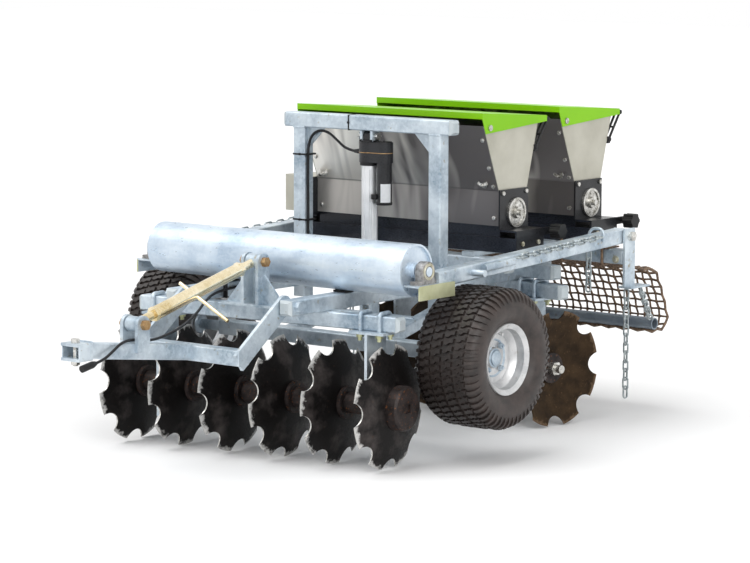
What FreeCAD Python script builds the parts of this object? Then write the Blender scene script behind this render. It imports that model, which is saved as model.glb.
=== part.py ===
"""Towed seeder: two notched disc gangs, a soil roller that swings over, two seed hoppers
on black bases, an electric wheel lift, and a folded drag mat behind.

Frame of the part: +Z up, the hitch points along -Y, +X is the machine's left side.
The origin is on the floor, in the middle of the machine's footprint. All lengths in mm.
"""
import FreeCAD
import Part
import math
import os
from collections import namedtuple

from FreeCAD import Placement, Rotation, Vector

# ---------------------------------------------------------------- stock and clearances
TUBE = 50.0             # square frame tube
TUBE_R = 6.0            # its outer corner radius
CAP_LIP = 3.0           # straight lip of a tube's end cap
CAP_LEN = 13.0          # how far the cap stands out
CAP_DRAFT = 9.0         # how far its end draws in on each side
PACKER = 15.0           # packing between crossing tubes
SHEET = 2.5             # hopper and lid sheet
FIT = 0.05              # radial clearance of pins in their holes
GAP = 0.3               # clearance between curved faces of different bodies
NUT_RATIO = 0.8         # height of a nut as a share of its bolt's diameter
FLATS_RATIO = 1.5       # width across a nut's flats as a share of its bolt's diameter

# ---------------------------------------------------------------- chassis
RAIL_X = 240.0          # middle of each long tube
RAIL_Z = 515.0
RAIL_FRONT_Y = -520.0
RAIL_REAR_Y = 889.0
MID_CROSS_Y = 262.0
HOPPER_CROSS_Y = 390.0  # cross tube under the front hopper's base
HOPPER_CROSS_HALF = 440.0
PACKER_HALF = 20.0
CROSS_Z = RAIL_Z + TUBE + PACKER    # both tubes that cross over the long ones
FLAT_X = 290.0          # flat bars that carry the hoppers' bases
FLAT_W = 50.0
REAR_CROSS_Y = 864.0

# ---------------------------------------------------------------- what the width is built up from
BASE_HALF = 460.0       # half-length of the hoppers' bases
END_SHELF_X = BASE_HALF + 5     # outer end of the folded end of a base
KNOB_X = END_SHELF_X + 15
KNOB_T = 40.0
ARM_X = KNOB_X + KNOB_T + 50    # middle of the roller's arms, outside the knobs
ROLLER_HALF = ARM_X - 34
POST_X = ARM_X + 31             # inner face of the rear posts
REAR_CROSS_HALF = POST_X - 9

# ---------------------------------------------------------------- disc gangs
Gang = namedtuple("Gang", "name x y yaw blades hollow beam_half hanger_s")
FRONT_GANG = Gang("front", 25.0, -353.0, 5.3, 6, -1, 500.0, 410.0)
REAR_GANG = Gang("rear", 8.0, 749.0, -10.0, 5, 1, 466.0, 326.0)
DISC_R = 200.0
DISC_THICK = 4.5
DISH_R = 520.0          # radius of the sphere that a blade is part of
DISC_PITCH = 200.0
NOTCHES = 8
NOTCH_R = 39.0
NOTCH_OUT = 4.0         # how far a notch's centre lies outside the rim
EDGE_LEN = 16.0         # ground edge of the blade
EDGE_TIP = 1.5
BLADE_TURN = 17.0       # each blade is turned a little from the one before
SHAFT = 28.0            # square gang shaft
SPOOL_R = 34.0
SPOOL_FLANGE_R = 52.0
SPOOL_FLANGE_T = 12.0
SPOOL_SINK = 8.0        # how far a casting starts beyond a blade before it is seated
BUMPER_R = 72.0
BUMPER_T = 34.0
BUMPER_EDGE = 7.0
END_WASHER_T = 16.0
SHAFT_BOLT_R = 14.0
SHAFT_THREAD = 46.0
BEAM_Z = RAIL_Z - TUBE
UPPER_BEAM_HALF = 430.0
UPPER_BEAM_Z = BEAM_Z + TUBE + PACKER
HANGER_T = 10.0
HANGER_W = 110.0
CLAMP_T = 8.0
CLAMP_LEN = 130.0
UBOLT_R = 7.0
UBOLT_S = 36.0          # each U-bolt's distance from its hanger
UBOLT_BEND = 13.0
UBOLT_TAIL = 22.0
BEARING_R = 44.0        # round part of a gang bearing
BEARING_LEN = 44.0
FLANGE_T = 9.0
BEARING_EAR_W = 50.0
BEARING_EAR_H = 76.0    # bearing flange's reach above and below the shaft
HANGER_DROP = 104.0     # hanger below the shaft

# ---------------------------------------------------------------- wheels and their lift
AXLE_Z = 338.0
STUB_R = 17.5
WHEEL_X = 625.0
AXLE_HALF = WHEEL_X - 145
TYRE_R = 229.0
TYRE_W = 240.0
RIM_SEAT_R = 101.6
RIM_FLANGE_R = 117.0
RIM_W = 200.0
RIM_T = 4.0
WHEEL_DISC_X = 40.0     # wheel disc's distance outside the wheel's middle
HUB_IN = -46.0
HUB_OUT = 46.0
HUB_R = 34.0
HUB_CAP_R = 26.0
HUB_CAP_LEN = 12.0
LIFT_ARM = 40.0         # square tube of the lift's arms
LIFT_ARM_X = 200.0
LIFT_PIVOT_Y = 420.0
LIFT_PIVOT_Z = 440.0
LIFT_BOSS_R = 28.0
LIFT_PIN_R = 12.0
LIFT_LUG_X = 231.0
LIFT_LUG_T = 12.0
LIFT_LUG_W = 64.0
CRANK_LUG_X = 20.0
CRANK_LUG_T = 10.0
CRANK_LUG_W = 44.0

# ---------------------------------------------------------------- portal and actuator
PORTAL_X = RAIL_X + TUBE
PORTAL_Y = 200.0
PORTAL_TOP = 1072.0
PORTAL_BASE = 440.0
PORTAL_OVERHANG = 34.0  # crossbeam past the uprights, before its caps
GUSSET = 75.0
GUSSET_T = 6.0
FOOT_GUSSET_W = 52.0
FOOT_GUSSET_H = 150.0
ACT_EAR_X = 22.0
ACT_EAR_T = 10.0
ACT_EAR_W = 40.0
ACT_EAR_DROP = 36.0
ACT_PIN_Z = PORTAL_TOP - 68
ACT_PIN_R = 8.0
ACT_HEAD_R = 36.0
ACT_HEAD_WALL = 4.0
ACT_EYE_HALF = 16.0
ACT_HEAD_Z1 = ACT_PIN_Z - 19
ACT_HEAD_Z0 = ACT_HEAD_Z1 - 68
ACT_TUBE_R = 27.5
ACT_TUBE_Z0 = 560.0
GROOVES = 8
GROOVE_R = 4.0
MOTOR_X = 62.0
MOTOR_R = 26.0
MOTOR_Z0 = ACT_HEAD_Z0 - 142
ROD_R = 15.0
ROD_TOP_Z = ACT_HEAD_Z0 - 117
ROD_EYE_Z = 442.0
ROD_EYE_R = 17.0
ROD_EYE_W = 24.0
ROD_BORE_R = 8.2

# ---------------------------------------------------------------- drawbar and top link
BAR_PIVOT_Y = -496.0
BAR_PIVOT_Z = 520.0
BAR_BOLT_R = 10.0
BAR_CROSS_Y = -696.0
BAR_CROSS_Z = 375.0
BAR_ARM_X = 208.0       # middle of each side arm, inside the long tubes
BAR_ARM_T = 12.0
BAR_ARM_W = 62.0
HITCH_Y = -1246.0
HITCH_Z = 436.0
HITCH_W = 76.0
HITCH_H = 54.0
HITCH_PLATE = 9.0
HITCH_LEN = 60.0
HITCH_PIN_Y = -1222.0
HITCH_PIN_R = 8.0
LUG_T = 12.0
LUG_W = 56.0
LINK_FRONT_Y = -959.0
LINK_FRONT_Z = 492.0
LINK_REAR_Y = -392.0
LINK_REAR_Z = 635.0
LINK_PIN_R = 9.5
LINK_EYE_R = 24.0
LINK_EYE_W = 44.0
LINK_SCREW_R = 14.0
LINK_TUBE_R = 22.0
LINK_TUBE_START = 96.0  # from the front pin
LINK_TUBE_LEN = 400.0
LINK_NUT = 42.0
LINK_HANDLE_SHARE = 0.45     # handle's place along the tube
BAR_HANDLE_R = 6.0
BAR_HANDLE_LEN = 225.0
BAR_HANDLE_IN = 62.0    # part of the handle on the far side of the tube
MAST_FOOT_T = 8.0
MAST_FOOT_HALF = 124.0
MAST_GUSSET_W = 84.0
MAST_GUSSET_H = 96.0

# ---------------------------------------------------------------- roller and its swinging arms
ROLLER_R = 84.15        # 168.3 mm pipe
ROLLER_Y = -237.0
ROLLER_Z = 631.0
ROLLER_LIP = 9.0        # the end plates sit this deep in the pipe
ROLLER_WALL = 6.3
ROLLER_SHAFT_R = 15.0
ROLLER_SHAFT_END = ARM_X + 18
ROLLER_BOSS_R = 25.0
PILLOW_R = 32.0
PILLOW_W = 30.0
PILLOW_H = 40.0         # shaft height above its bracket
PILLOW_BASE = 84.0
PILLOW_BASE_T = 12.0
ARM_FRONT_Y = -196.0
ARM_FRONT_Z = 600.5
SWING_Y = 866.0
SWING_Z = 652.0
SWING_PIN_R = 10.0
BRACKET_T = 6.0
BRACKET_OUT = 31.0      # bracket's outer face from the arm's middle
BRACKET_FRONT = 66.0    # bracket ahead of the shaft
BRACKET_REAR = 117.0    # and behind it
BRACKET_DROP = 46.0
PILLOW_LEDGE = 14.0     # bearing's foot ahead of its middle
REST_W = 52.0
REST_LEN = 40.0
POST_T = 8.0
POST_W = 62.0
POST_Z0 = 480.0
POST_Z1 = 678.0
POST_FOOT_T = 6.0
POST_FOOT_W = 36.0
POST_FOOT_REAR = 52.0   # foot's length behind the post
SLEEVE_R = 12.5
SLEEVE_X = ARM_X + 37
SLEEVE_Y0 = 25.0
SLEEVE_Y1 = 189.0
SLEEVE_RISE = 8.0       # sleeve's middle above the arm's middle
STUD_R = 11.0
STUD_Y = -18.0
STUD_OUT = ARM_X + 74
HOOK_Y = 717.0
HOOK_R = 5.0
HOOK_H = 18.0

# ---------------------------------------------------------------- hoppers
HOPPER_HALF = 392.0
HOPPER_Y = 479.0        # middle of the front hopper's foot
HOPPER_PITCH = 442.0
HOPPER_FOOT_W = 156.0
HOPPER_TOP_FRONT = 167.0
HOPPER_TOP_REAR = 141.0
LID_Z_FRONT = 1092.0    # top of the machine, on the lids' front edges
HOPPER_TOP_Z = LID_Z_FRONT - 44
HOPPER_NECK_Z = 825.0
HOPPER_FLOOR_Z = 709.0
PLATE_T = 6.0
PLATE_Z0 = 697.0
PLATE_Z1 = 830.0
BASE_W = 157.0
BASE_Z0 = 620.0
BASE_Z1 = 671.0
BASE_T = 5.0
METER_HALF = HOPPER_HALF - 2
METER_W = 138.0
SHELF_T = 6.0
FLANGE_Y = 9.0          # seed shaft bearing, behind the hopper's middle
FLANGE_Z = 750.0
FLANGE_R = 50.0
FLANGE_RIM_W = 8.0
FLANGE_RIM_T = 8.0
SEED_SHAFT_R = 10.0
SEED_SHAFT_OUT = 26.0
KNOB_Y = 112.0          # adjuster knob, behind the hopper's middle
KNOB_Z = 684.0
KNOB_R = 27.0
KNOB_LOBES = 6
KNOB_LOBE_R = 8.0
KNOB_STUD_R = 5.0
LID_HALF = HOPPER_HALF + PLATE_T
LID_FRONT = 15.0        # lid past the hopper's front edge
LID_REAR = 46.0
LID_Z_REAR = LID_Z_FRONT - 25
LID_LIP = 20.0
LID_SIDE_DROP = 70.0
LID_PIVOT_Y = -141.0    # from the hopper's middle
LID_PIVOT_Z = LID_Z_FRONT - 50.5
LID_PIN_R = 5.0
LATCH_X = HOPPER_HALF - 20
LATCH_W = 26.0
LATCH_T = 12.0
LATCH_LEN = 96.0
LATCH_TOP_Z = HOPPER_TOP_Z - 12
BOX_X0 = -BASE_HALF - 75
BOX_Z0 = 705.0
BOX_Z1 = 832.0
BOX_LEN = 123.0
BOX_REAR = 41.0         # box's rear face, behind the hopper's middle
GUARD_REACH = 149.0     # end plate's reach ahead of the hopper's middle, beside the box

# ---------------------------------------------------------------- drag mat and chains
PIPE_Y = 1148.0
PIPE_Z = 312.0
PIPE_R = 21.0
PIPE_T = 4.0
MAT_HALF = 530.0
MAT_T = 8.0
MAT_CELLS = 12          # openings across the mat
MAT_RIB = 15.0          # woven web left between two openings
MAT_CELL_LEN = 80.0     # pitch of the openings along the mat
# the mat's middle line from the rear cross tube round to the pipe: Y, Z
MAT_LINE = [(899.6, 556.0), (1090.0, 508.0), (1154.0, 506.0), (1202.0, 418.0), (1241.5, 323.0),
            (1213.0, 287.0), (1140.0, 286.4)]
MAT_BOLT_R = 5.0
MAT_BOLT_TAIL = 18.0
MAT_BOLT_BEND = 10.5
MAT_BOLTS_X = (-515.0, -440.0, 345.0, 515.0)
MAT_PLATE_W = 44.0
MAT_PLATE_LIP = 14.0
LINK_PITCH = 34.0       # one chain link's inner length
LINK_WIRE = 7.0
LINK_INNER = 12.0       # inner width of a chain link
LINK_CORNER = 7.0
POST_CHAIN_X = POST_X + 3
PIPE_CHAIN_INSET = 6.0  # from the mat's end to the chain's ring on the pipe
POST_CHAIN_Y = 855.0
CHAIN_END_Z = 89.0
# from a post's foot to the pipe
PIPE_CHAIN = [(POST_CHAIN_X, 939.8, 466.9), (MAT_HALF - PIPE_CHAIN_INSET, 1130.6, 326.6)]
TAIL_LEN = 149.0


# ---------------------------------------------------------------- supply cable
CABLE_R = 4.5
ARC_SHARE = 0.45        # share of the shorter run that an arc takes up
GLAND_R = 10.0
GLAND_TIP_R = 6.0
GLAND_LEN = 28.0
PLUG_R = 11.0
PLUG_NECK_R = 7.0
PLUG_NECK_LEN = 14.0
PLUG_LEN = 46.0
# the cable's route from the actuator's gland to the plug, tied along the frame
CABLE_ROUTE = [
    (-64.0, 200.0, PORTAL_TOP - 122), (-100.0, 197.0, PORTAL_TOP - 117), (-133.0, 192.0, PORTAL_TOP - 90),
    (-170.0, 190.0, PORTAL_TOP - 63), (-208.0, 188.0, PORTAL_TOP - 57.5), (-240.0, 188.0, PORTAL_TOP - 73),
    (-256.0, 188.0, PORTAL_TOP - 105), (-260.0, 189.0, PORTAL_TOP - 147), (-260.0, 188.0, PORTAL_TOP - 237),
    (-259.0, 189.0, 745.0), (-260.0, 188.0, 660.0), (-257.0, 186.0, 597.0), (-240.0, 172.0, 561.0),
    (-207.0, 137.0, 548.0), (-196.0, 80.0, 531.0), (-207.0, 5.0, 521.0), (-208.0, -90.0, 520.0),
    (-207.0, -190.0, 521.0), (-206.0, -290.0, 519.0), (-190.0, -380.0, 513.0), (-150.0, -468.0, 498.0),
    (-113.0, -540.0, 477.0), (-84.0, -625.0, 453.0), (-54.0, -710.0, 441.0), (-34.0, -790.0, 432.0),
    (-16.0, -865.0, 429.0), (3.0, -940.0, 441.0), (18.0, -1000.0, 449.0), (33.0, -1056.0, 447.0),
    (43.0, -1105.0, 427.0), (46.0, -1146.0, 407.0), (45.0, -1182.0, 400.0),
]


# ---------------------------------------------------------------- helpers
def box(x0, x1, y0, y1, z0, z1):
    return Part.makeBox(x1 - x0, y1 - y0, z1 - z0, Vector(x0, y0, z0))


def side_box(side, x0, x1, y0, y1, z0, z1):
    """Box from x0 to x1 out from the middle, on the side that side's sign gives."""
    return box(min(side * x0, side * x1), max(side * x0, side * x1), y0, y1, z0, z1)


def cyl(start, axis, radius, length):
    return Part.makeCylinder(radius, length, Vector(*start), Vector(*axis))


def cone(start, axis, radius_0, radius_1, length):
    return Part.makeCone(radius_0, radius_1, length, Vector(*start), Vector(*axis))


def rounded_square(size, radius):
    """Face in the local XY plane, centred on the origin."""
    k = size / 2 - radius
    corners = [(k, k, 0), (-k, k, 90), (-k, -k, 180), (k, -k, 270)]
    arcs = []
    for cx, cy, start in corners:
        turn = [math.radians(start + a) for a in (0, 45, 90)]
        arcs.append([Vector(cx + radius * math.cos(a), cy + radius * math.sin(a), 0) for a in turn])
    edges = []
    for here, after in zip(arcs, arcs[1:] + arcs[:1]):
        edges.append(Part.Arc(*here).toShape())
        edges.append(Part.LineSegment(here[2], after[0]).toShape())
    return Part.Face(Part.Wire(edges))


def bar(p0, p1, size=TUBE, radius=TUBE_R, side=Vector(1, 0, 0)):
    """Square bar with rounded corners from p0 to p1; one pair of faces stays square to side."""
    start = Vector(*p0)
    run = Vector(*p1) - start
    along = Vector(run).normalize()
    if abs(along.dot(side)) > 0.9:
        side = Vector(0, 0, 1)
    across = (side - along * side.dot(along)).normalize()
    up = along.cross(across)
    solid = rounded_square(size, radius).extrude(Vector(0, 0, run.Length))
    solid.Placement = Placement(FreeCAD.Matrix(
        across.x, up.x, along.x, start.x, across.y, up.y, along.y, start.y,
        across.z, up.z, along.z, start.z, 0, 0, 0, 1))
    return solid


def ring_of(center, u, v, half):
    corners = [center + u * (a * half) + v * (b * half) for a, b in ((1, 1), (-1, 1), (-1, -1), (1, -1))]
    return Part.makePolygon(corners + [corners[0]])


def cap(center, axis, size=TUBE):
    """End cap of a square tube: a short lip, then sides that draw in."""
    out = Vector(*axis).normalize()
    ref = Vector(0, 0, 1) if abs(out.z) < 0.9 else Vector(1, 0, 0)
    u = out.cross(ref).normalize()
    v = out.cross(u)
    c = Vector(*center)
    half = size / 2
    base = ring_of(c, u, v, half - 1)
    lip = ring_of(c + out * CAP_LIP, u, v, half - 1)
    end = ring_of(c + out * CAP_LEN, u, v, half - CAP_DRAFT)
    return fuse([Part.makeLoft([base, lip], True, True), Part.makeLoft([lip, end], True, True)])


def fuse(shapes):
    first = shapes[0]
    if len(shapes) > 1:
        first = first.multiFuse(shapes[1:])
    return first.removeSplitter()


def prism(points, axis, depth):
    """Polygon of 3-D points extruded by depth along axis."""
    pts = [Vector(*p) for p in points]
    return Part.Face(Part.makePolygon(pts + [pts[0]])).extrude(Vector(*axis) * depth)


def section_yz(points, x0, x1):
    """Polygon of (y, z) points extruded from x0 to x1."""
    return prism([(x0, y, z) for y, z in points], (1, 0, 0), x1 - x0)


def revolve_x(points, x=0.0, z=0.0):
    """Solid of revolution about an X axis at height z from (x, r) points."""
    pts = [Vector(px, 0, pr) for px, pr in points]
    solid = Part.Face(Part.makePolygon(pts + [pts[0]])).revolve(Vector(0, 0, 0), Vector(1, 0, 0), 360)
    solid.translate(Vector(x, 0, z))
    return solid


def hexagon(start, axis, flats, length):
    along = Vector(*axis).normalize()
    ref = Vector(0, 0, 1) if abs(along.z) < 0.9 else Vector(1, 0, 0)
    u = along.cross(ref).normalize()
    v = along.cross(u)
    radius = flats / math.sqrt(3)
    turns = [math.radians(60 * i) for i in range(6)]
    pts = [Vector(*start) + u * (radius * math.cos(a)) + v * (radius * math.sin(a)) for a in turns]
    return Part.Face(Part.makePolygon(pts + [pts[0]])).extrude(along * length)


def nut(start, axis, bolt_r):
    """Hexagon nut or head that fits a bolt of this radius."""
    return hexagon(start, axis, 2 * bolt_r * FLATS_RATIO, 2 * bolt_r * NUT_RATIO)


def pin_x(y, z, radius, x0, x1, side):
    """Bolt along X on one side of the machine, from x0 out to x1, with its head at x1."""
    shank = cyl((side * x0, y, z), (side, 0, 0), radius, x1 - x0)
    return fuse([shank, nut((side * x1, y, z), (side, 0, 0), radius)])


def bend_path(points, share):
    """Wire of straight runs joined by tangent arcs, with the arcs' radii."""
    pts = [Vector(*p) for p in points]
    edges = []
    radii = []
    last = pts[0]
    for before, here, after in zip(pts, pts[1:], pts[2:]):
        back = before - here
        ahead = after - here
        half_turn = (math.pi - back.getAngle(ahead)) / 2
        reach = share * min(back.Length, ahead.Length)
        radii.append(reach / math.tan(half_turn))
        start = here + back.normalize() * reach
        end = here + ahead.normalize() * reach
        inward = (start + end) / 2 - here
        center = here + inward.normalize() * (radii[-1] / math.cos(half_turn))
        middle = center + (here - center).normalize() * radii[-1]
        edges.append(Part.LineSegment(last, start).toShape())
        edges.append(Part.Arc(start, middle, end).toShape())
        last = end
    edges.append(Part.LineSegment(last, pts[-1]).toShape())
    return Part.Wire(edges), radii


def round_rod(points, radius, share=ARC_SHARE):
    """Round rod or cable along a path of runs and arcs."""
    path, radii = bend_path(points, share)
    first = Vector(*points[1]) - Vector(*points[0])
    profile = Part.Wire(Part.makeCircle(radius, Vector(*points[0]), first))
    return path.makePipeShell([profile], True, False), path.Length, radii


NODES = {}


def node(name, shapes):
    """Register one node; several solids stay separate in it."""
    solids = []
    for shape in shapes:
        solids.extend(shape.Solids)
    NODES[name] = solids[0] if len(solids) == 1 else Part.makeCompound(solids)


# ---------------------------------------------------------------- chassis
def build_chassis():
    h = TUBE / 2
    parts = [bar((-RAIL_X, MID_CROSS_Y, RAIL_Z), (RAIL_X, MID_CROSS_Y, RAIL_Z)),
             bar((-REAR_CROSS_HALF, REAR_CROSS_Y, CROSS_Z), (REAR_CROSS_HALF, REAR_CROSS_Y, CROSS_Z)),
             in_gang(bar((-UPPER_BEAM_HALF, 0, UPPER_BEAM_Z), (UPPER_BEAM_HALF, 0, UPPER_BEAM_Z)),
                     REAR_GANG)]
    caps = []
    for s in (-1, 1):
        parts.append(bar((s * RAIL_X, RAIL_FRONT_Y, RAIL_Z), (s * RAIL_X, RAIL_REAR_Y, RAIL_Z)))
        parts.append(side_box(s, RAIL_X - PACKER_HALF, RAIL_X + PACKER_HALF, REAR_CROSS_Y - PACKER_HALF,
                              REAR_CROSS_Y + PACKER_HALF, RAIL_Z + h - 1, CROSS_Z - h + 1))
        parts.append(side_box(s, LIFT_LUG_X - LIFT_LUG_T / 2, LIFT_LUG_X + LIFT_LUG_T / 2,
                              LIFT_PIVOT_Y - LIFT_LUG_W / 2, LIFT_PIVOT_Y + LIFT_LUG_W / 2,
                              LIFT_PIVOT_Z - LIFT_LUG_W / 2, RAIL_Z - h + 1))
        caps.append(cap((s * RAIL_X, RAIL_FRONT_Y, RAIL_Z), (0, -1, 0)))
        caps.append(cap((s * RAIL_X, RAIL_REAR_Y, RAIL_Z), (0, 1, 0)))
        caps.append(cap((s * (PORTAL_X + h + PORTAL_OVERHANG), PORTAL_Y, PORTAL_TOP - h), (s, 0, 0)))
        caps.append(cap((s * HOPPER_CROSS_HALF, HOPPER_CROSS_Y, CROSS_Z), (s, 0, 0)))
        caps.append(in_gang(cap((s * UPPER_BEAM_HALF, 0, UPPER_BEAM_Z), (s, 0, 0)), REAR_GANG))
        for gang in (FRONT_GANG, REAR_GANG):
            caps.append(in_gang(cap((s * gang.beam_half, 0, BEAM_Z), (s, 0, 0)), gang))
    frame = fuse(parts)
    for s in (-1, 1):
        frame = frame.cut(cyl((s * RAIL_X - TUBE, BAR_PIVOT_Y, BAR_PIVOT_Z), (1, 0, 0), BAR_BOLT_R,
                              2 * TUBE))
        frame = frame.cut(cyl((s * LIFT_LUG_X - TUBE, LIFT_PIVOT_Y, LIFT_PIVOT_Z), (1, 0, 0), LIFT_PIN_R,
                              2 * TUBE))
    node("chassis_frame", [frame])
    node("tube_caps", caps)


def build_hopper_stand():
    """Cross tube on packers, and two flat bars that carry both hoppers' bases."""
    h = TUBE / 2
    parts = [bar((-HOPPER_CROSS_HALF, HOPPER_CROSS_Y, CROSS_Z),
                 (HOPPER_CROSS_HALF, HOPPER_CROSS_Y, CROSS_Z))]
    for s in (-1, 1):
        parts.append(side_box(s, RAIL_X - PACKER_HALF, RAIL_X + PACKER_HALF, HOPPER_CROSS_Y - PACKER_HALF,
                              HOPPER_CROSS_Y + PACKER_HALF, RAIL_Z + h, CROSS_Z - h + 1))
        parts.append(side_box(s, FLAT_X - FLAT_W / 2, FLAT_X + FLAT_W / 2, HOPPER_CROSS_Y - h,
                              HOPPER_Y + HOPPER_PITCH + BASE_W / 2, CROSS_Z + h, BASE_Z0))
    node("hopper_stand", [fuse(parts)])


# ---------------------------------------------------------------- disc gangs
def in_gang(shape, gang):
    """Shape in a gang's own frame (X along its shaft), set at its place in the machine."""
    placed = shape.copy()
    placed.Placement = Placement(Vector(gang.x, gang.y, 0), Rotation(Vector(0, 0, 1), gang.yaw)).multiply(
        placed.Placement)
    return placed


def square_hole(x0, x1):
    k = SHAFT / 2
    return box(x0, x1, -k, k, -k, k)


def dish_ball(x, hollow, radius):
    """Ball whose surface is a face of the blade whose apex stands at x."""
    return Part.makeSphere(radius, Vector(x + hollow * DISH_R, 0, 0))


def disc_blade(hollow, turn):
    """Notched dish with its apex at x = 0; the hollow's sign gives the side that it opens to."""
    inner_r = DISH_R - DISC_THICK
    ground = DISC_R - EDGE_LEN

    def back(r):
        return DISH_R - math.sqrt(DISH_R ** 2 - r ** 2)

    def front(r):
        return DISH_R - math.sqrt(inner_r ** 2 - r ** 2)

    apex = Vector(0, 0, 0)
    rim = Vector(back(DISC_R), 0, DISC_R)
    tip = Vector(back(DISC_R) + EDGE_TIP, 0, DISC_R)
    shoulder = Vector(front(ground), 0, ground)
    inside = Vector(DISC_THICK, 0, 0)
    profile = Part.Wire([
        Part.Arc(apex, Vector(back(DISC_R / 2), 0, DISC_R / 2), rim).toShape(),
        Part.LineSegment(rim, tip).toShape(),
        Part.LineSegment(tip, shoulder).toShape(),
        Part.Arc(shoulder, Vector(front(ground / 2), 0, ground / 2), inside).toShape(),
        Part.LineSegment(inside, apex).toShape()])
    blade = Part.Face(profile).revolve(Vector(0, 0, 0), Vector(1, 0, 0), 360)
    reach = DISC_R + NOTCH_OUT
    notches = []
    for i in range(NOTCHES):
        a = 2 * math.pi * i / NOTCHES + math.radians(turn)
        notches.append(cyl((-DISC_THICK, reach * math.cos(a), reach * math.sin(a)), (1, 0, 0), NOTCH_R,
                           DISC_R / 2))
    blade = blade.cut(notches).cut(square_hole(-DISC_THICK, SHAFT))
    if hollow < 0:
        blade = blade.mirror(Vector(0, 0, 0), Vector(1, 0, 0))
    return blade


def spool_between(x0, x1, hollow):
    """Cast spool between the blades at x0 and x1, seated on both dishes."""
    core = cyl((x0 - SPOOL_SINK, 0, 0), (1, 0, 0), SPOOL_R, x1 - x0 + 2 * SPOOL_SINK)
    ends = [cyl((x, 0, 0), (1, 0, 0), SPOOL_FLANGE_R, SPOOL_FLANGE_T + SPOOL_SINK)
            for x in (x0 - SPOOL_SINK, x1 - SPOOL_FLANGE_T)]
    inner, outer = (x0, x1) if hollow > 0 else (x1, x0)
    spool = core.fuse(ends).common(dish_ball(inner, hollow, DISH_R - DISC_THICK))
    spool = spool.cut(dish_ball(outer, hollow, DISH_R))
    return spool.cut(square_hole(x0 - SHAFT, x1 + SHAFT))


def build_gang(gang):
    """Blades and spools on a square shaft, with a bumper washer on the bulging end."""
    first = -DISC_PITCH * (gang.blades - 1) / 2
    stations = [first + DISC_PITCH * i for i in range(gang.blades)]
    blades = []
    for i, x in enumerate(stations):
        blade = disc_blade(gang.hollow, BLADE_TURN * (gang.blades - 1 - i))
        blade.translate(Vector(x, 0, DISC_R))
        blades.append(in_gang(blade, gang))
    node(gang.name + "_discs", blades)

    out = -gang.hollow
    bulge, hollow = (stations[-1], stations[0]) if out > 0 else (stations[0], stations[-1])
    bumper = fuse([cyl((bulge - out * SPOOL_SINK, 0, 0), (out, 0, 0), BUMPER_R,
                       BUMPER_T + SPOOL_SINK - BUMPER_EDGE),
                   cone((bulge + out * (BUMPER_T - BUMPER_EDGE), 0, 0), (out, 0, 0), BUMPER_R,
                        BUMPER_R - BUMPER_EDGE, BUMPER_EDGE)])
    bumper = bumper.cut(dish_ball(bulge, gang.hollow, DISH_R)).cut(square_hole(bulge - TUBE, bulge + TUBE))
    seat = hollow - out * DISC_THICK
    washer = cyl((seat + out * SPOOL_SINK, 0, 0), (-out, 0, 0), SPOOL_FLANGE_R, END_WASHER_T + SPOOL_SINK)
    washer = washer.common(dish_ball(hollow, gang.hollow, DISH_R - DISC_THICK))
    washer = washer.cut(square_hole(hollow - 2 * TUBE, hollow + 2 * TUBE))
    spools = [bumper, washer]
    for x0, x1 in zip(stations, stations[1:]):
        spools.append(spool_between(x0, x1, gang.hollow))
    for spool in spools:
        spool.translate(Vector(0, 0, DISC_R))
    node(gang.name + "_spools", [in_gang(spool, gang) for spool in spools])

    x_bulge = bulge + out * (BUMPER_T - BUMPER_EDGE)
    x_hollow = seat - out * END_WASHER_T
    k = SHAFT / 2
    shaft = fuse([box(min(x_bulge, x_hollow), max(x_bulge, x_hollow), -k, k, -k, k),
                  cyl((x_hollow, 0, 0), (-out, 0, 0), SHAFT_BOLT_R, SHAFT_THREAD),
                  nut((x_hollow, 0, 0), (-out, 0, 0), SHAFT_BOLT_R)])
    shaft.translate(Vector(0, 0, DISC_R))
    node(gang.name + "_shaft", [in_gang(shaft, gang)])


def u_bolt(x, leg_y, top, low):
    """U-bolt over a beam, open downwards, from low up to top."""
    bend = UBOLT_BEND
    points = [(x, -leg_y, low), (x, -leg_y, top), (x, leg_y, top), (x, leg_y, low)]
    return round_rod(points, UBOLT_R, bend / (2 * leg_y))[0]


def build_hangers(gang):
    """Clamp plate, web and bearing under each end of the beam. Returns its U-bolts."""
    under = BEAM_Z - TUBE / 2
    leg_y = TUBE / 2 + UBOLT_R + FIT
    hangers = []
    bolts = []
    for s in (-gang.hanger_s, gang.hanger_s):
        half = HANGER_W / 2
        hanger = fuse([
            box(s - CLAMP_LEN / 2, s + CLAMP_LEN / 2, -half, half, under - CLAMP_T, under),
            box(s - HANGER_T / 2, s + HANGER_T / 2, -half, half, DISC_R - HANGER_DROP, under - CLAMP_T),
            box(s - FLANGE_T, s + FLANGE_T, -BEARING_EAR_W / 2, BEARING_EAR_W / 2,
                DISC_R - BEARING_EAR_H, DISC_R + BEARING_EAR_H),
            cyl((s - BEARING_LEN / 2, 0, DISC_R), (1, 0, 0), BEARING_R, BEARING_LEN)])
        cuts = [cyl((s - BEARING_LEN, 0, DISC_R), (1, 0, 0), SPOOL_R + GAP, 2 * BEARING_LEN)]
        for x in (s - UBOLT_S, s + UBOLT_S):
            for y in (-leg_y, leg_y):
                cuts.append(cyl((x, y, under - 2 * CLAMP_T), (0, 0, 1), UBOLT_R + FIT, 3 * CLAMP_T))
            rod = u_bolt(x, leg_y, BEAM_Z + TUBE / 2 + UBOLT_R + FIT, under - CLAMP_T - UBOLT_TAIL)
            nuts = [nut((x, y, under - CLAMP_T), (0, 0, -1), UBOLT_R) for y in (-leg_y, leg_y)]
            bolts.append(in_gang(fuse([rod] + nuts), gang))
        hangers.append(in_gang(hanger.cut(cuts), gang))
    node(gang.name + "_hangers", hangers)
    return bolts


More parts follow.
